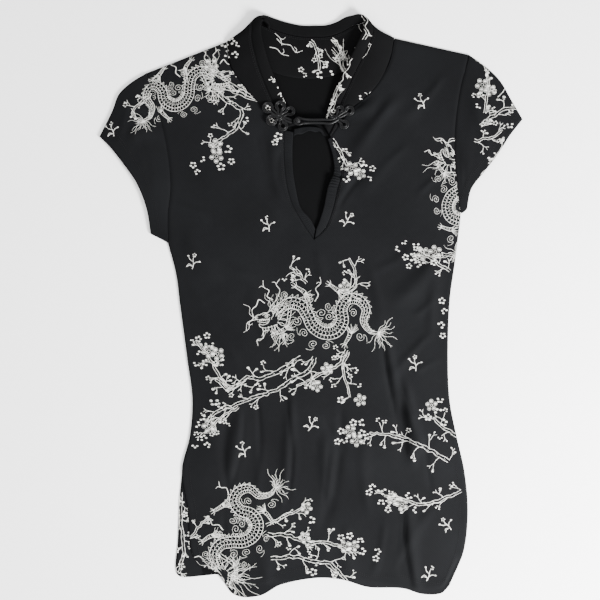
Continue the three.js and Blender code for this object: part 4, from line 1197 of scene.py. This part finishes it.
def small_blossom(centre, size, chance):
    """A half-open blossom: three to five round petals crowded together."""
    strokes = []
    count = int(chance.integers(3, 6))
    start = chance.uniform(0, math.tau)
    for one in range(count):
        way = start + one * math.tau / 5
        petal_centre = np.add(centre, ray_of(way) * size * 0.6)
        strokes.append(dot(petal_centre, size * 0.3))
    return strokes


def bud(centre, way, size=1.9):
    """A round bud in its calyx, on the side that the twig grows to."""
    ray = ray_of(way)
    side = left_of(ray)
    middle = np.add(centre, ray * size * 0.7)
    foot = middle - ray * size
    return [
        dot(middle, size * 0.85),
        stroke([foot + side * size * 0.6, middle - ray * size * 1.25, foot - side * size * 0.6], 0.8),
    ]


def twig(start, way, length, chance, forks=1):
    """A thin crooked twig that ends in a bud, a small blossom or a fork."""
    points = [np.array(start, float)]
    heading = way
    for _ in range(3):
        heading += chance.uniform(-0.45, 0.45)
        points.append(points[-1] + ray_of(heading) * length / 3)
    strokes = [stroke(points, 0.95, 0.65)]
    ending = chance.random()
    if ending < 0.4:
        strokes += bud(points[-1], heading, chance.uniform(1.6, 2.2))
    elif ending < 0.62:
        strokes += small_blossom(points[-1] + ray_of(heading) * 2.6, 3.4, chance)
    else:
        for spread in (-0.6, 0.55):
            tip = points[-1] + ray_of(heading + spread) * 3.6
            bent = (points[-1] + tip) / 2 + chance.uniform(-0.4, 0.4, 2)
            strokes.append(stroke([points[-1], bent, tip], 0.9, 0.6))
        if chance.random() < 0.6:
            strokes.append(dot(tip, 1.0))
    if forks:
        middle = points[1 + int(chance.integers(0, 2))]
        turned = heading + chance.choice([-1, 1]) * chance.uniform(0.7, 1.1)
        strokes += twig(middle, turned, length * 0.55, chance, forks - 1)
    return strokes


def branch(route, widths, seed, twigs, twig_length=13.0):
    """A plum branch: two uneven outlines, bark marks between them, and twigs off both sides."""
    chance = np.random.default_rng(seed)
    route = np.asarray(route, float)
    length = np.linalg.norm(np.diff(route, axis=0), axis=1).sum()
    count = max(8, int(length / 4.0))
    numbers = np.linspace(0, len(route) - 1, count)
    middle = spline(route, numbers) + chance.normal(0, 0.55, (count, 2))
    run = np.gradient(middle, axis=0)
    run /= np.linalg.norm(run, axis=1, keepdims=True)
    across = np.column_stack([-run[:, 1], run[:, 0]])
    half = np.linspace(widths[0], widths[1], count)[:, None] / 2 * chance.uniform(0.8, 1.2, (count, 1))
    strokes = [
        stroke(middle + across * half, 0.85, 0.8),
        stroke(middle - across * half * chance.uniform(0.8, 1.1), 0.85, 0.8),
        stroke([middle[-1] + across[-1] * half[-1], middle[-1] + run[-1] * 1.2,
                middle[-1] - across[-1] * half[-1]], 0.9),
    ]
    for number in range(1, count - 1, 2):
        if half[number, 0] > 1.3:
            start = middle[number] + across[number] * half[number] * chance.uniform(-0.4, 0.4)
            strokes.append(stroke([start, start + run[number] * 2.2], 0.6, 0.4))
    for one in range(twigs):
        share = (one + chance.uniform(0.2, 0.8)) / twigs
        number = min(int(share * count), count - 1)
        side = 1 if one % 2 else -1
        way = math.atan2(run[number, 1], run[number, 0]) + side * chance.uniform(0.55, 1.15)
        start = middle[number] + across[number] * half[number] * side
        strokes += twig(start, way, twig_length * chance.uniform(0.6, 1.15), chance)
    return strokes


def flame(route, width=1.45):
    """A licking flame: a bold crooked stroke with a short fork."""
    route = np.asarray(route, float)
    run = route[-1] - route[-2]
    fork = route[-2] + left_of(run) * 0.75
    bend = (route[-2] + fork) / 2 + run * 0.2
    return [stroke(route, width, 0.8), stroke([route[-2], bend, fork], 1.1, 0.6)]


def wisps(root, way, spread, reach, count, seed):
    """A tuft of thin curved hairs that fan out from one root, as far as their reach allows."""
    chance = np.random.default_rng(seed)
    root = np.array(root, float)
    strokes = []
    for one in range(count):
        angle = math.radians(way + spread * (one / max(count - 1, 1) - 0.5)) + chance.uniform(-0.06, 0.06)
        ray = ray_of(angle)
        side = left_of(ray) * chance.choice([-1.7, 1.7])
        far = chance.uniform(*reach)
        hair = [root + ray * far * 0.12, root + ray * far * 0.4 + side,
                root + ray * far * 0.72 - side * 0.7, root + ray * far + side * 0.5]
        strokes.append(stroke(hair, 0.7, 0.4))
    return strokes


DRAGON_SPINE = (
    (-42, -2), (-37, 9), (-26, 16), (-13, 13), (-5, 2), (2, -12), (15, -20),
    (29, -18), (37, -6), (36, 9), (43, 20), (56, 20), (65, 9), (62, -6), (70, -18), (80, -20),
)
DRAGON_GIRTH = ((0, 9.5), (0.15, 13.5), (0.5, 14.5), (0.75, 11.5), (1, 2.5))
DRAGON_LEGS = (
    {"root": 0.12, "side": -1, "knee": (-31, -14), "foot": (-44, -21)},
    {"root": 0.24, "side": 1, "knee": (-8, 28), "foot": (-19, 36)},
    {"root": 0.52, "side": -1, "knee": (46, -20), "foot": (40, -33)},
    {"root": 0.68, "side": 1, "knee": (32, 31), "foot": (22, 38)},
)
DRAGON_FLAMES = (
    ((-46, 20), (-53, 24), (-51, 31), (-57, 35), (-58, 43)),
    ((-56, 16), (-63, 20), (-66, 13), (-71, 8), (-70, -3), (-77, -8), (-78, -17)),
    ((-50, -16), (-57, -18), (-58, -26), (-65, -28), (-64, -35)),
    ((-40, 24), (-38, 32), (-42, 38), (-38, 45)),
    ((4, 18), (8, 26), (5, 33), (11, 40), (10, 47)),
    ((48, 30), (54, 36), (52, 43), (58, 48)),
)
DRAGON_CLOUDS = (
    (12, 4, 7, 20), (21, 0, 6, 200), (20, 12, 5.5, 90), (-18, -6, 6.5, 160), (-9, -20, 6, 300),
    (-24, -24, 5.5, 40), (50, 4, 5.5, 250), (2, -33, 6, 10), (17, -35, 5.5, 180), (-2, 24, 5, 60),
    (58, -24, 6, 120), (-32, 26, 5, 330),
)


def walked_along(line):
    """How far along a line each of its points is."""
    return np.concatenate([[0], np.cumsum(np.linalg.norm(np.diff(line, axis=0), axis=1))])


def place_along(line, walked, distance):
    return np.column_stack([np.interp(distance, walked, line[:, i]) for i in (0, 1)])


def curl(centre, size, turn):
    """A curl of cloud: a spiral whose tail runs off to one side."""
    angle = np.linspace(0, 1.75 * math.tau, 26)
    reach = size * (0.12 + 0.88 * angle / angle[-1])
    spiral = np.column_stack([np.cos(angle) * reach, np.sin(angle) * reach * 0.82])
    tail = spiral[-1] + np.array([[-0.4, 0.25], [-1.0, 0.2], [-1.6, -0.15]]) * size * (1, -1)
    return placed([stroke(np.vstack([spiral, tail]), 0.6, 0.4)], centre, turn)


def limb(start, knee, foot, chance):
    """A leg with a four-clawed foot and a few hairs at the knee."""
    start, knee, foot = (np.array(p, float) for p in (start, knee, foot))
    way = foot - knee
    way /= np.linalg.norm(way)
    side = left_of(way)
    strokes = []
    for off in (-1, 1):
        edge = [start + side * off * 3.2, knee + side * off * 2.3, foot + side * off * 1.4]
        strokes.append(stroke(edge, 0.8, 0.7))
    for one in range(1, 6):
        share = one / 6
        place = knee + (foot - knee) * share
        strokes.append(stroke([place + side * 1.7, place + way * 0.9, place - side * 1.7], 0.65))
    for spread in (-1.1, -0.4, 0.35, 1.05):
        angle = math.atan2(way[1], way[0]) + spread
        ray = ray_of(angle)
        bend = left_of(ray) * np.sign(spread)
        strokes.append(stroke([foot, foot + ray * 2.8 + bend * 0.5, foot + ray * 5.6 - bend * 0.6], 1.1, 0.5))
    for one in range(9):
        off = (one - 4) / 2.0
        tip = knee - way * chance.uniform(4, 13) + side * off * 3.6
        strokes.append(stroke([knee + side * off, (knee + tip) / 2 + side * 1.3, tip], 0.9, 0.45))
    return strokes


def dragon_head(chance):
    """The head, facing left from its neck: open jaws, horns, whiskers, beard and mane."""
    strokes = [
        stroke([(0, 6), (-5, 8.4), (-9, 6.8), (-12, 7.4), (-16, 6), (-20, 5.6), (-22, 3), (-20, 1.2),
                (-14, 0.8), (-7, -1)], 0.85),
        stroke([(-7, -1), (-10, -4), (-15, -5), (-18.5, -3.6), (-18, -6.4), (-12, -8.6), (-6, -8),
                (0, -6.5)], 0.85),
        stroke([(-14, 5), (-10.5, 6.2), (-6.5, 4)], 0.9),
        stroke([(-9, -2.6), (-14, -2.8), (-20, -0.8)], 0.95, 0.5),
        stroke([(-5, 8.4), (1, 13), (8, 14), (14, 19)], 0.95, 0.5),
        stroke([(-7, 7.6), (-3, 14), (2, 18.5), (4, 24)], 0.95, 0.5),
        stroke([(-21, 3), (-27, 8), (-26, 15), (-32, 19)], 0.95, 0.5),
        stroke([(-20, 1.6), (-28, 0), (-30, -7), (-36, -10)], 0.95, 0.5),
        stroke([(-2, 5), (3, 9), (0.5, 3.5)], 1.0),
        ring((-10, 3.3), 1.5, 0.8),
        dot((-10, 3.3), 0.7),
        ring((-20, 3.6), 0.9, 0.7),
    ]
    for one in range(6):
        x = -18 + one * 1.9
        strokes.append(stroke([(x, 0.9), (x + 0.7, -1.2), (x + 0.95, 0.5)], 0.7))
    for one in range(5):
        start = np.array([-16 + one * 3.2, -8 + 0.3 * one])
        tip = start + (chance.uniform(-6, -1), chance.uniform(-10, -6))
        strokes.append(stroke([start, (start + tip) / 2 + (1.4, 0), tip], 1.0, 0.5))
    for one in range(19):
        share = one / 18
        start = np.array([-4 + 3 * math.sin(share * math.pi), 9 - 17 * share])
        angle = math.radians(104 - 204 * share) + chance.uniform(-0.1, 0.1)
        reach = chance.uniform(13, 27)
        ray = ray_of(angle)
        start = start + ray * 2.6
        side = left_of(ray) * (2.4 if one % 2 else -2.0)
        hair = [start, start + ray * reach * 0.35 + side, start + ray * reach * 0.7 - side * 0.4,
                start + ray * reach + side * 0.8]
        strokes.append(stroke(hair, 0.7, 0.4))
    for one in range(5):
        strokes.append(stroke([(-4 - one * 2.6, 2 - one * 0.2), (-5.4 - one * 2.5, -0.4)], 0.6))
    return strokes


def dragon(seed):
    """A scaled dragon in coils among clouds, its head at the left and its tufted tail at the right."""
    chance = np.random.default_rng(seed)
    fine = spline(DRAGON_SPINE, np.linspace(0, len(DRAGON_SPINE) - 1, 600))
    walked = walked_along(fine)
    length = walked[-1]

    def at(distance, off):
        """A place so far along the spine, and off to its left by a share of the half girth."""
        distance = np.clip(np.asarray(distance, float), 0, length)
        place = place_along(fine, walked, distance)
        run = unit_rows(place_along(fine, walked, distance + 1) - place_along(fine, walked, distance - 1))
        girth = np.interp(distance / length, *zip(*DRAGON_GIRTH)) / 2
        return place + np.column_stack([-run[:, 1], run[:, 0]]) * (girth * off)[:, None]

    along = np.arange(0, length, 3.0)
    strokes = [stroke(at(along, off), 0.85) for off in (1.0, -1.0)]
    strokes.append(stroke(at(along, -0.34), 0.65))
    for distance in np.arange(2, length - 4, 3.3):
        rung = at([distance, distance + 0.5, distance + 0.2], np.array([-0.34, -0.68, -1.0]))
        strokes.append(stroke(rung, 0.48))
    for row, (low, high) in enumerate(((-0.34, 0.33), (0.33, 1.0))):
        for distance in np.arange(1.5 + row * 1.7, length - 8, 4.3):
            middle = (low + high) / 2
            offs = [low, low * 0.7 + middle * 0.3, middle, high * 0.7 + middle * 0.3, high]
            strokes.append(stroke(at(distance + np.array([0, 2.3, 3.0, 2.3, 0]), np.array(offs)), 0.5))
    for distance in np.arange(3, length - 8, 4.4):
        fin = at([distance, distance + 3.4, distance + 3.6], np.array([1.0, 1.62, 1.0]))
        strokes.append(stroke(fin[:2], 0.7, 0.5))
        strokes.append(stroke(fin[1:], 0.5, 0.7))
    for leg in DRAGON_LEGS:
        root = at([leg["root"] * length], np.array([leg["side"] * 0.8]))[0]
        strokes += limb(root, leg["knee"], leg["foot"], chance)
    tail = at([length], np.zeros(1))[0]
    for one in range(18):
        angle = math.radians(-128 + 11 * one) + chance.uniform(-0.1, 0.1)
        ray = ray_of(angle)
        side = left_of(ray) * (2.2 if one % 2 else -1.8)
        far = chance.uniform(9, 26)
        hair = [tail - ray, tail + ray * far * 0.4 + side, tail + ray * far * 0.75, tail + ray * far + side]
        strokes.append(stroke(hair, 0.75, 0.4))
    strokes += placed(dragon_head(chance), DRAGON_SPINE[0], turn=8, size=1.15)
    for x, y, size, turn in DRAGON_CLOUDS:
        strokes += curl((x, y), size, turn)
    for route in DRAGON_FLAMES:
        strokes += flame(route)
    return strokes


def sprig(at, turn, size, seed):
    """A small sprig: a stem, two leaves and three buds."""
    chance = np.random.default_rng(seed)
    strokes = [
        stroke([(0, -8), (0.8, -2), (-0.4, 4), (0.6, 8)], 1.4, 1.0),
        stroke([(0.5, -2), (4, 1), (7.5, 1.5)], 1.3, 0.9),
        stroke([(0, 1), (-4, 3), (-6.5, 6.5)], 1.3, 0.9),
        stroke([(0, -4.5), (-4, -4), (-7.5, -6.2)], 1.2, 0.8),
        stroke([(-7.5, -6.2), (-5, -2.4), (0, -4.5)], 1.0, 0.7),
        dot((7.9, 1.8), 1.3),
        dot((-6.8, 7.2), 1.3),
    ]
    strokes += small_blossom((0.6, 9), 3.0, chance)
    return placed(strokes, at, turn, size)


def flowers(rows, seed):
    """Blossoms at their places: each row is x, y and a radius; the small ones are half open."""
    chance = np.random.default_rng(seed)
    strokes = []
    for x, y, radius in rows:
        if radius > 5.4:
            strokes += blossom(np.array([x, y], float), radius * 1.2, chance.uniform(0, 1.2))
        else:
            strokes += small_blossom((x, y), radius * 1.15, chance)
    return strokes


def drawn(rows):
    """The strokes of a table of drawings: each row is what draws, and what it is given."""
    return [one for draw, *values in rows for one in draw(*values)]


# The print of the front, from the left shoulder down to the hem.
front_print = drawn((
    (flowers, [(-50, 227, 3.6), (-46, 213, 3.4), (-36, 229, 3)], 10),
    (placed, dragon(1), (0, -12), 0, 0.96),
    (placed, dragon(2), (-143, 251), 200, 0.8, -1),
    (placed, dragon(3), (170, 130), -78, 0.85),
    (placed, dragon(4), (-88, -268), 66, 0.92),
    (branch, [(-64, 238), (-92, 254), (-112, 268), (-122, 262)], (3.6, 3.0), 11, 2),
    (branch, [(-62, 236), (-88, 246), (-112, 254)], (3.2, 3.4), 12, 2),
    (branch, [(-118, 252), (-98, 236), (-82, 226), (-84, 208), (-100, 194), (-112, 186)], (4.4, 2.6), 13,
     9),
    (flowers, [(-115, 277, 7), (-110, 184, 7.5), (-109, 172, 7), (-96, 180, 5), (-92, 166, 4.2),
     (-126, 169, 4), (-104, 160, 5), (-136, 162, 4), (-131, 154, 3.6), (-76, 214, 4.2), (-100, 302, 5.2),
     (-92, 297, 4.4), (-97, 290, 4.4), (-38, 195, 5), (-42, 188, 4)], 14),
    (branch, [(-12, -60), (-36, -74), (-60, -84), (-74, -82), (-94, -96), (-110, -84)], (4.4, 2.4), 21,
     9),
    (branch, [(4, -58), (-2, -72), (-22, -84), (-44, -98), (-62, -104), (-84, -112), (-110, -122),
     (-122, -136)], (4.2, 2.6), 22, 10),
    (flowers, [(-118, -52, 7), (-108, -55, 7), (-128, -55, 4.2), (-116, -44, 4), (-122, -65, 4.4),
     (-110, -66, 4), (-132, -66, 4), (-130, -38, 4), (-120, -34, 4), (-112, -110, 5.4), (-104, -114, 4.4),
     (-118, -138, 7.4), (-126, -128, 4.4), (-132, -136, 4.2), (-124, -152, 4.2), (-134, -160, 4),
     (-120, -160, 4), (-62, -92, 4)], 23),
    (branch, [(-76, -88), (-96, -92), (-108, -76), (-118, -58), (-132, -42)], (2.8, 1.6), 24, 8, 10),
    (branch, [(-84, -116), (-104, -128), (-122, -146)], (2.4, 1.6), 25, 5, 10),
    (flowers, [(150, 6, 4.2), (153, -6, 3.8), (149, -22, 4.4), (151, -34, 3.8)], 26),
    (wisps, (-30, -30), 250, 60, (10, 26), 9, 27),
    (branch, [(38, 16), (48, 22), (50, 40), (44, 54)], (3, 1.8), 31, 6),
    (branch, [(-6, 26), (-14, 36), (-24, 44)], (2.8, 1.8), 32, 5),
    (branch, [(40, -50), (32, -66), (18, -74), (-4, -86), (-16, -92)], (3, 1.8), 33, 8),
    (branch, [(42, -52), (36, -70), (40, -88), (44, -104)], (2.6, 1.6), 34, 5),
    (flowers, [(38, 22, 6), (18, -72, 6.4), (6, -92, 6), (-4, -94, 4.4), (34, -108, 4.6), (56, -108, 6.4),
     (50, -74, 4)], 35),
    (branch, [(160, 40), (150, 46), (138, 54), (124, 58)], (2.8, 1.8), 41, 6),
    (flowers, [(128, 60, 7), (142, 62, 7), (116, 56, 5), (108, 56, 4), (122, 48, 4.2), (140, 50, 4),
     (120, 70, 4), (100, 66, 4), (106, 74, 3.6), (112, 46, 3.6)], 42),
    (branch, [(24, 192), (34, 176), (40, 164), (52, 160)], (3.6, 2.4), 51, 4, 9),
    (flowers, [(46, 158, 7), (56, 152, 6), (34, 168, 4.4), (40, 146, 4.6), (62, 164, 4), (70, 158, 4),
     (38, 178, 4), (66, 146, 3.6)], 52),
    (branch, [(158, -178), (132, -164), (112, -154), (88, -148), (68, -146)], (3.6, 2), 61, 10),
    (flowers, [(44, -144, 6.6), (52, -154, 6.8), (58, -146, 4.4), (34, -144, 4.2), (38, -154, 4.2),
     (48, -134, 4.4), (58, -134, 4.4), (30, -156, 4), (64, -150, 4), (138, -114, 6), (146, -122, 5),
     (134, -128, 4.4), (148, -108, 4), (152, -134, 4.6)], 62),
    (branch, [(172, -214), (150, -222), (124, -228), (104, -222), (84, -218)], (3.2, 2), 63, 9),
    (branch, [(168, -150), (152, -140), (142, -130)], (3, 2), 64, 4),
    (flowers, [(94, -222, 6.6), (104, -228, 6.8), (84, -214, 4.4), (80, -226, 4.2), (112, -218, 4.4),
     (70, -208, 4), (66, -214, 4), (120, -234, 4.2), (88, -234, 4)], 65),
    (branch, [(-52, -252), (-28, -240), (-8, -232)], (2.6, 1.6), 71, 4),
    (wisps, (-94, -312), 352, 110, (12, 40), 18, 75),
    (branch, [(-140, -268), (-130, -254), (-120, -244)], (2.2, 1.4), 76, 4, 7),
    (branch, [(-50, -262), (-26, -264), (-4, -272), (20, -272), (40, -280)], (3.4, 2.2), 72, 10),
    (branch, [(-46, -290), (-20, -288), (4, -294), (22, -296), (36, -312), (48, -324)], (3.6, 2.2), 73,
     9),
    (flowers, [(-6, -232, 6), (0, -246, 4.6), (-8, -266, 6), (-2, -274, 4.4), (38, -276, 6.4),
     (48, -276, 5.8), (34, -266, 4.4), (44, -264, 4.4), (56, -270, 4.2), (58, -282, 4.6), (76, -282, 4),
     (74, -290, 4), (2, -306, 4.8), (8, -298, 4), (28, -310, 5)], 74),
))
SPRIGS = (
    (-50, 93, 10), (-136, 50, -8), (41, 98, -35), (127, 234, 20), (119, -67, 5), (0, -137, -30),
    (-78, -166, 15), (135, -309, -20),
)
for number, (x, y, turn) in enumerate(SPRIGS):
    front_print += sprig((x, y), turn, 0.95, 81 + number)
front_print += sprig((156, -252), 40, 0.9, 91)


def printed(name, target, strokes, below=False):
    """One piece of print: each stroke a thin ribbon laid on the target's upper or lower side."""
    find = finder(target, below)
    points, faces = [], []
    for path, widths in strokes:
        run = np.gradient(path, axis=0)
        run /= np.maximum(np.linalg.norm(run, axis=1, keepdims=True), 1e-6)
        row, last = None, None
        for (x, y), (rx, ry), width in zip(path, run, widths * INK_SHARE * MM):
            place, normal = find(x, y)
            if place is None or abs(normal.z) < STEEPEST_PRINT:
                row = None
                continue
            if last is not None and abs(place.z - last) > LARGEST_STEP * MM:
                row = None
            last = place.z
            side = Vector((-ry, rx, 0))
            side = (side - normal * side.dot(normal)).normalized() * (width / 2)
            sunk = normal * (INK_SUNK * MM)
            points += [place - side - sunk, place + normal * (INK_RAISED * MM), place + side - sunk]
            index = len(points) - 3
            if row is not None:
                quads = [(row, index, index + 1, row + 1), (row + 1, index + 1, index + 2, row + 2)]
                faces += [quad[::-1] for quad in quads] if below else quads
            row = index
    piece = smooth_piece(name, points, faces, ink)


printed("front_print", front, front_print)

sleeve_prints = {
    "left": drawn((
        (placed, dragon(2), (-138, 250), 200, 0.8, -1),
        (branch, [(-186, 242), (-198, 232), (-206, 222)], (2.6, 1.6), 101, 4, 9),
        (sprig, (-229, 202), 15, 0.9, 102),
    )),
    "right": drawn((
        (branch, [(199, 222), (201, 240), (204, 262), (200, 276)], (2.4, 1.6), 111, 6, 10),
        (branch, [(194, 206), (206, 216), (222, 226), (240, 228)], (3.2, 2.6), 112, 5, 11),
        (branch, [(186, 190), (198, 191), (210, 194), (218, 202)], (2.8, 1.8), 113, 4, 9),
        (branch, [(196, 150), (206, 162), (218, 180), (228, 190)], (2.6, 1.8), 114, 5, 8),
        (flame, [(214, 240), (220, 246), (224, 252), (232, 254)], 1.2),
        (flowers, [(196, 254, 7), (205, 248, 6.6), (200, 268, 4.6), (194, 242, 4.4), (197, 284, 4),
         (192, 230, 4), (204, 212, 4.2), (198, 208, 4), (228, 208, 4.4), (234, 232, 4.2), (218, 192, 4),
         (206, 166, 4), (200, 152, 4)], 115),
    )),
}
for side, strokes in sleeve_prints.items():
    printed(f"sleeve_{side}_print", sleeves[side], strokes)
    printed(f"sleeve_{side}_underside_print", sleeves[side], strokes, below=True)

# The collar carries the print on the stand, so that it shows on the wings and inside the back of
# the neck, and a little on the band.
collar_print = drawn((
    (flowers, [(-96, 297, 5), (-88, 288, 4.4), (-98, 286, 4), (-92, 304, 4.4), (-84, 300, 3.6),
     (10, 266, 4.6), (21, 267, 4.8), (15, 277, 4.0), (58, 240, 3.6), (-12, 272, 3.4), (-8, 266, 3)], 121),
    (flowers, [(-50, 227, 3.6), (-46, 213, 3.4), (-36, 229, 3)], 128),
    (branch, [(0, 306), (6, 296), (8, 284), (10, 272)], (2.8, 1.8), 122, 5, 8),
    (branch, [(24, 308), (31, 299), (34, 290)], (2.4, 1.6), 123, 3, 6),
    (wisps, (43, 262), 92, 78, (14, 46), 20, 124),
    (wisps, (30, 284), 20, 50, (8, 18), 8, 126),
    (branch, [(62, 320), (64, 308), (60, 296)], (3.4, 2.6), 125, 3, 5),
    (flame, [(-40, 308), (-34, 302), (-24, 300), (-18, 292), (-10, 294)], 1.2),
    (flame, [(-48, 298), (-40, 296), (-34, 290), (-26, 288)], 1.2),
    (flame, [(-42, 314), (-36, 308), (-34, 300)], 1.0),
    (flame, [(60, 236), (64, 242), (68, 246)], 1.0),
    (wisps, (62, 300), 96, 16, (12, 30), 5, 127),
))
printed("collar_stand_print", stand, collar_print)
band_print = drawn((
    (flowers, [(-36, 252, 4), (-32, 244, 4.4), (-28, 236, 4), (-38, 260, 3.2), (31, 253, 3.6),
     (23, 234, 3.8), (18, 222, 3.6)], 131),
    (branch, [(44, 284), (36, 268), (28, 250), (20, 230), (15, 214)], (6.0, 4.6), 132, 7, 4),
    (branch, [(-42, 268), (-37, 256), (-30, 240), (-26, 232)], (2.6, 2.0), 133, 5, 6),
    (wisps, (14, 212), 66, 22, (24, 62), 5, 134),
))
for off in (0, 3.2):
    route = [(57 + off, 332), (61 + off, 326), (58 + off, 319), (62 + off, 312), (58 + off, 304)]
    band_print += flame(route, 0.8)
printed("collar_band_print", band, band_print)

# Print on the back's outer side, which lies face down, and on its turned edge at the left vent.
vent_print = drawn((
    (branch, [(-150, -216), (-151, -246), (-147, -280), (-152, -306)], (3.2, 2.6), 141, 10, 7),
    (flowers, [(-150, -228, 4.2), (-144, -262, 4.4), (-150, -300, 4.4), (-146, -240, 3.8)], 142),
))
printed("back_vent_print", back, [(path, widths) for path, widths in vent_print if path[:, 0].max() < -128])
printed("back_print", back, placed(front_print, (12, -6), turn=180), below=True)


# Stitching: black thread in single stitches, in two rows where a twin needle sewed them.
THREAD_RADIUS = 0.24
THREAD_SIDES = 6
THREAD_BLACK = (0.0026, 0.0026, 0.0029, 1)
THREAD_GREY = (0.0092, 0.0092, 0.0100, 1)
STITCH_PITCH = 2.5
STITCH_LENGTH = 1.8
STITCH_SINK = 0.3
thread, thread_tree, thread_shader = surface("black_thread", Roughness=0.7, Specular_IOR_Level=0.08)
thread_noise = noise(thread_tree, 1500.0, 2.0, object_place(thread_tree))
two_toned(thread_tree, thread_shader, thread_noise, THREAD_BLACK, THREAD_GREY)


def evenly(line, pitch):
    """Points at an even pitch along a line, and the way it runs there."""
    line = np.asarray(line, float)
    walked = walked_along(line)
    distance = np.arange(pitch / 2, walked[-1], pitch)
    run = place_along(line, walked, distance + 0.5) - place_along(line, walked, distance - 0.5)
    run /= np.maximum(np.linalg.norm(run, axis=1, keepdims=True), 1e-6)
    return place_along(line, walked, distance), run


def stitches(name, target, lines, below=False):
    """Rows of stitches sewn along lines in plan, lying on the target's upper or lower side."""
    find = finder(target, below)
    circle = [ray_of(one * math.tau / THREAD_SIDES) * THREAD_RADIUS * MM for one in range(THREAD_SIDES)]
    points, faces = [], []
    for line in lines:
        for (x, y), (rx, ry) in zip(*evenly(line, STITCH_PITCH)):
            place, normal = find(x, y)
            if place is None or abs(normal.z) < 0.3:
                continue
            run = Vector((rx, ry, 0))
            run = (run - normal * run.dot(normal)).normalized()
            side = normal.cross(run)
            first = len(points)
            centre = place + normal * (THREAD_RADIUS * 0.45 * MM)
            half_stitch = run * (STITCH_LENGTH / 2 * MM)
            sunk = normal * (STITCH_SINK * MM)
            points.append(centre - half_stitch - sunk)
            for off in (-0.3, 0.3):
                for across, up in circle:
                    points.append(centre + run * (STITCH_LENGTH * off * MM) + side * across + normal * up)
            points.append(centre + half_stitch - sunk)
            last = len(points) - 1
            for one in range(THREAD_SIDES):
                here = first + 1 + one
                after = first + 1 + (one + 1) % THREAD_SIDES
                faces.append((first, after, here))
                faces.append((here, after, after + THREAD_SIDES, here + THREAD_SIDES))
                faces.append((here + THREAD_SIDES, after + THREAD_SIDES, last))
    piece = smooth_piece(name, points, faces, thread)


SLEEVE_HEM_ROWS = (9.5, 11.5)
BODY_HEM_ROWS = (13, 15)
for side, piece in sleeves.items():
    across = np.linspace(0.04, 0.96, 80)
    lines = [sleeve_plan(side, across, 1 - row / sleeve_length(side, across)) for row in SLEEVE_HEM_ROWS]
    stitches(f"sleeve_{side}_hem_stitches", piece, lines)
    stitches(f"sleeve_{side}_hem_stitches_under", piece, lines, below=True)
hem_x = np.linspace(-125, 156, 160)
hem_y = look_up(FRONT_HEM, hem_x)
stitches("front_hem_stitches", front, [np.column_stack([hem_x, hem_y + row]) for row in BODY_HEM_ROWS])
hem_x = np.linspace(-148, 160, 160)
hem_y = look_up(BACK_LOWER_EDGE, hem_x)
back_rows = [np.column_stack([hem_x, hem_y + row]) for row in BODY_HEM_ROWS]
stitches("back_hem_stitches", back, back_rows, below=True)
for side, inward in (("left", 1), ("right", -1)):
    edge = seam(side, np.linspace(0.4, VENT_TOP + 0.2, 60))
    stitches(f"{side}_vent_stitches", front, [edge + (inward * 9, 0)])
    edge = inner_edge(side, np.linspace(UNDERARM + 0.4, NECK_POINT - 0.2, 60))
    stitches(f"keyhole_{side}_stitches", front, [edge - (inward * row, 0) for row in (1.8, 3.4)])
stand_rows = [band_seam - row / collar_width(collar_places) for row in (1.6, 3.4)]
stitches("collar_band_stitches", stand, [collar_point(collar_places, up)[:, :2] for up in stand_rows])
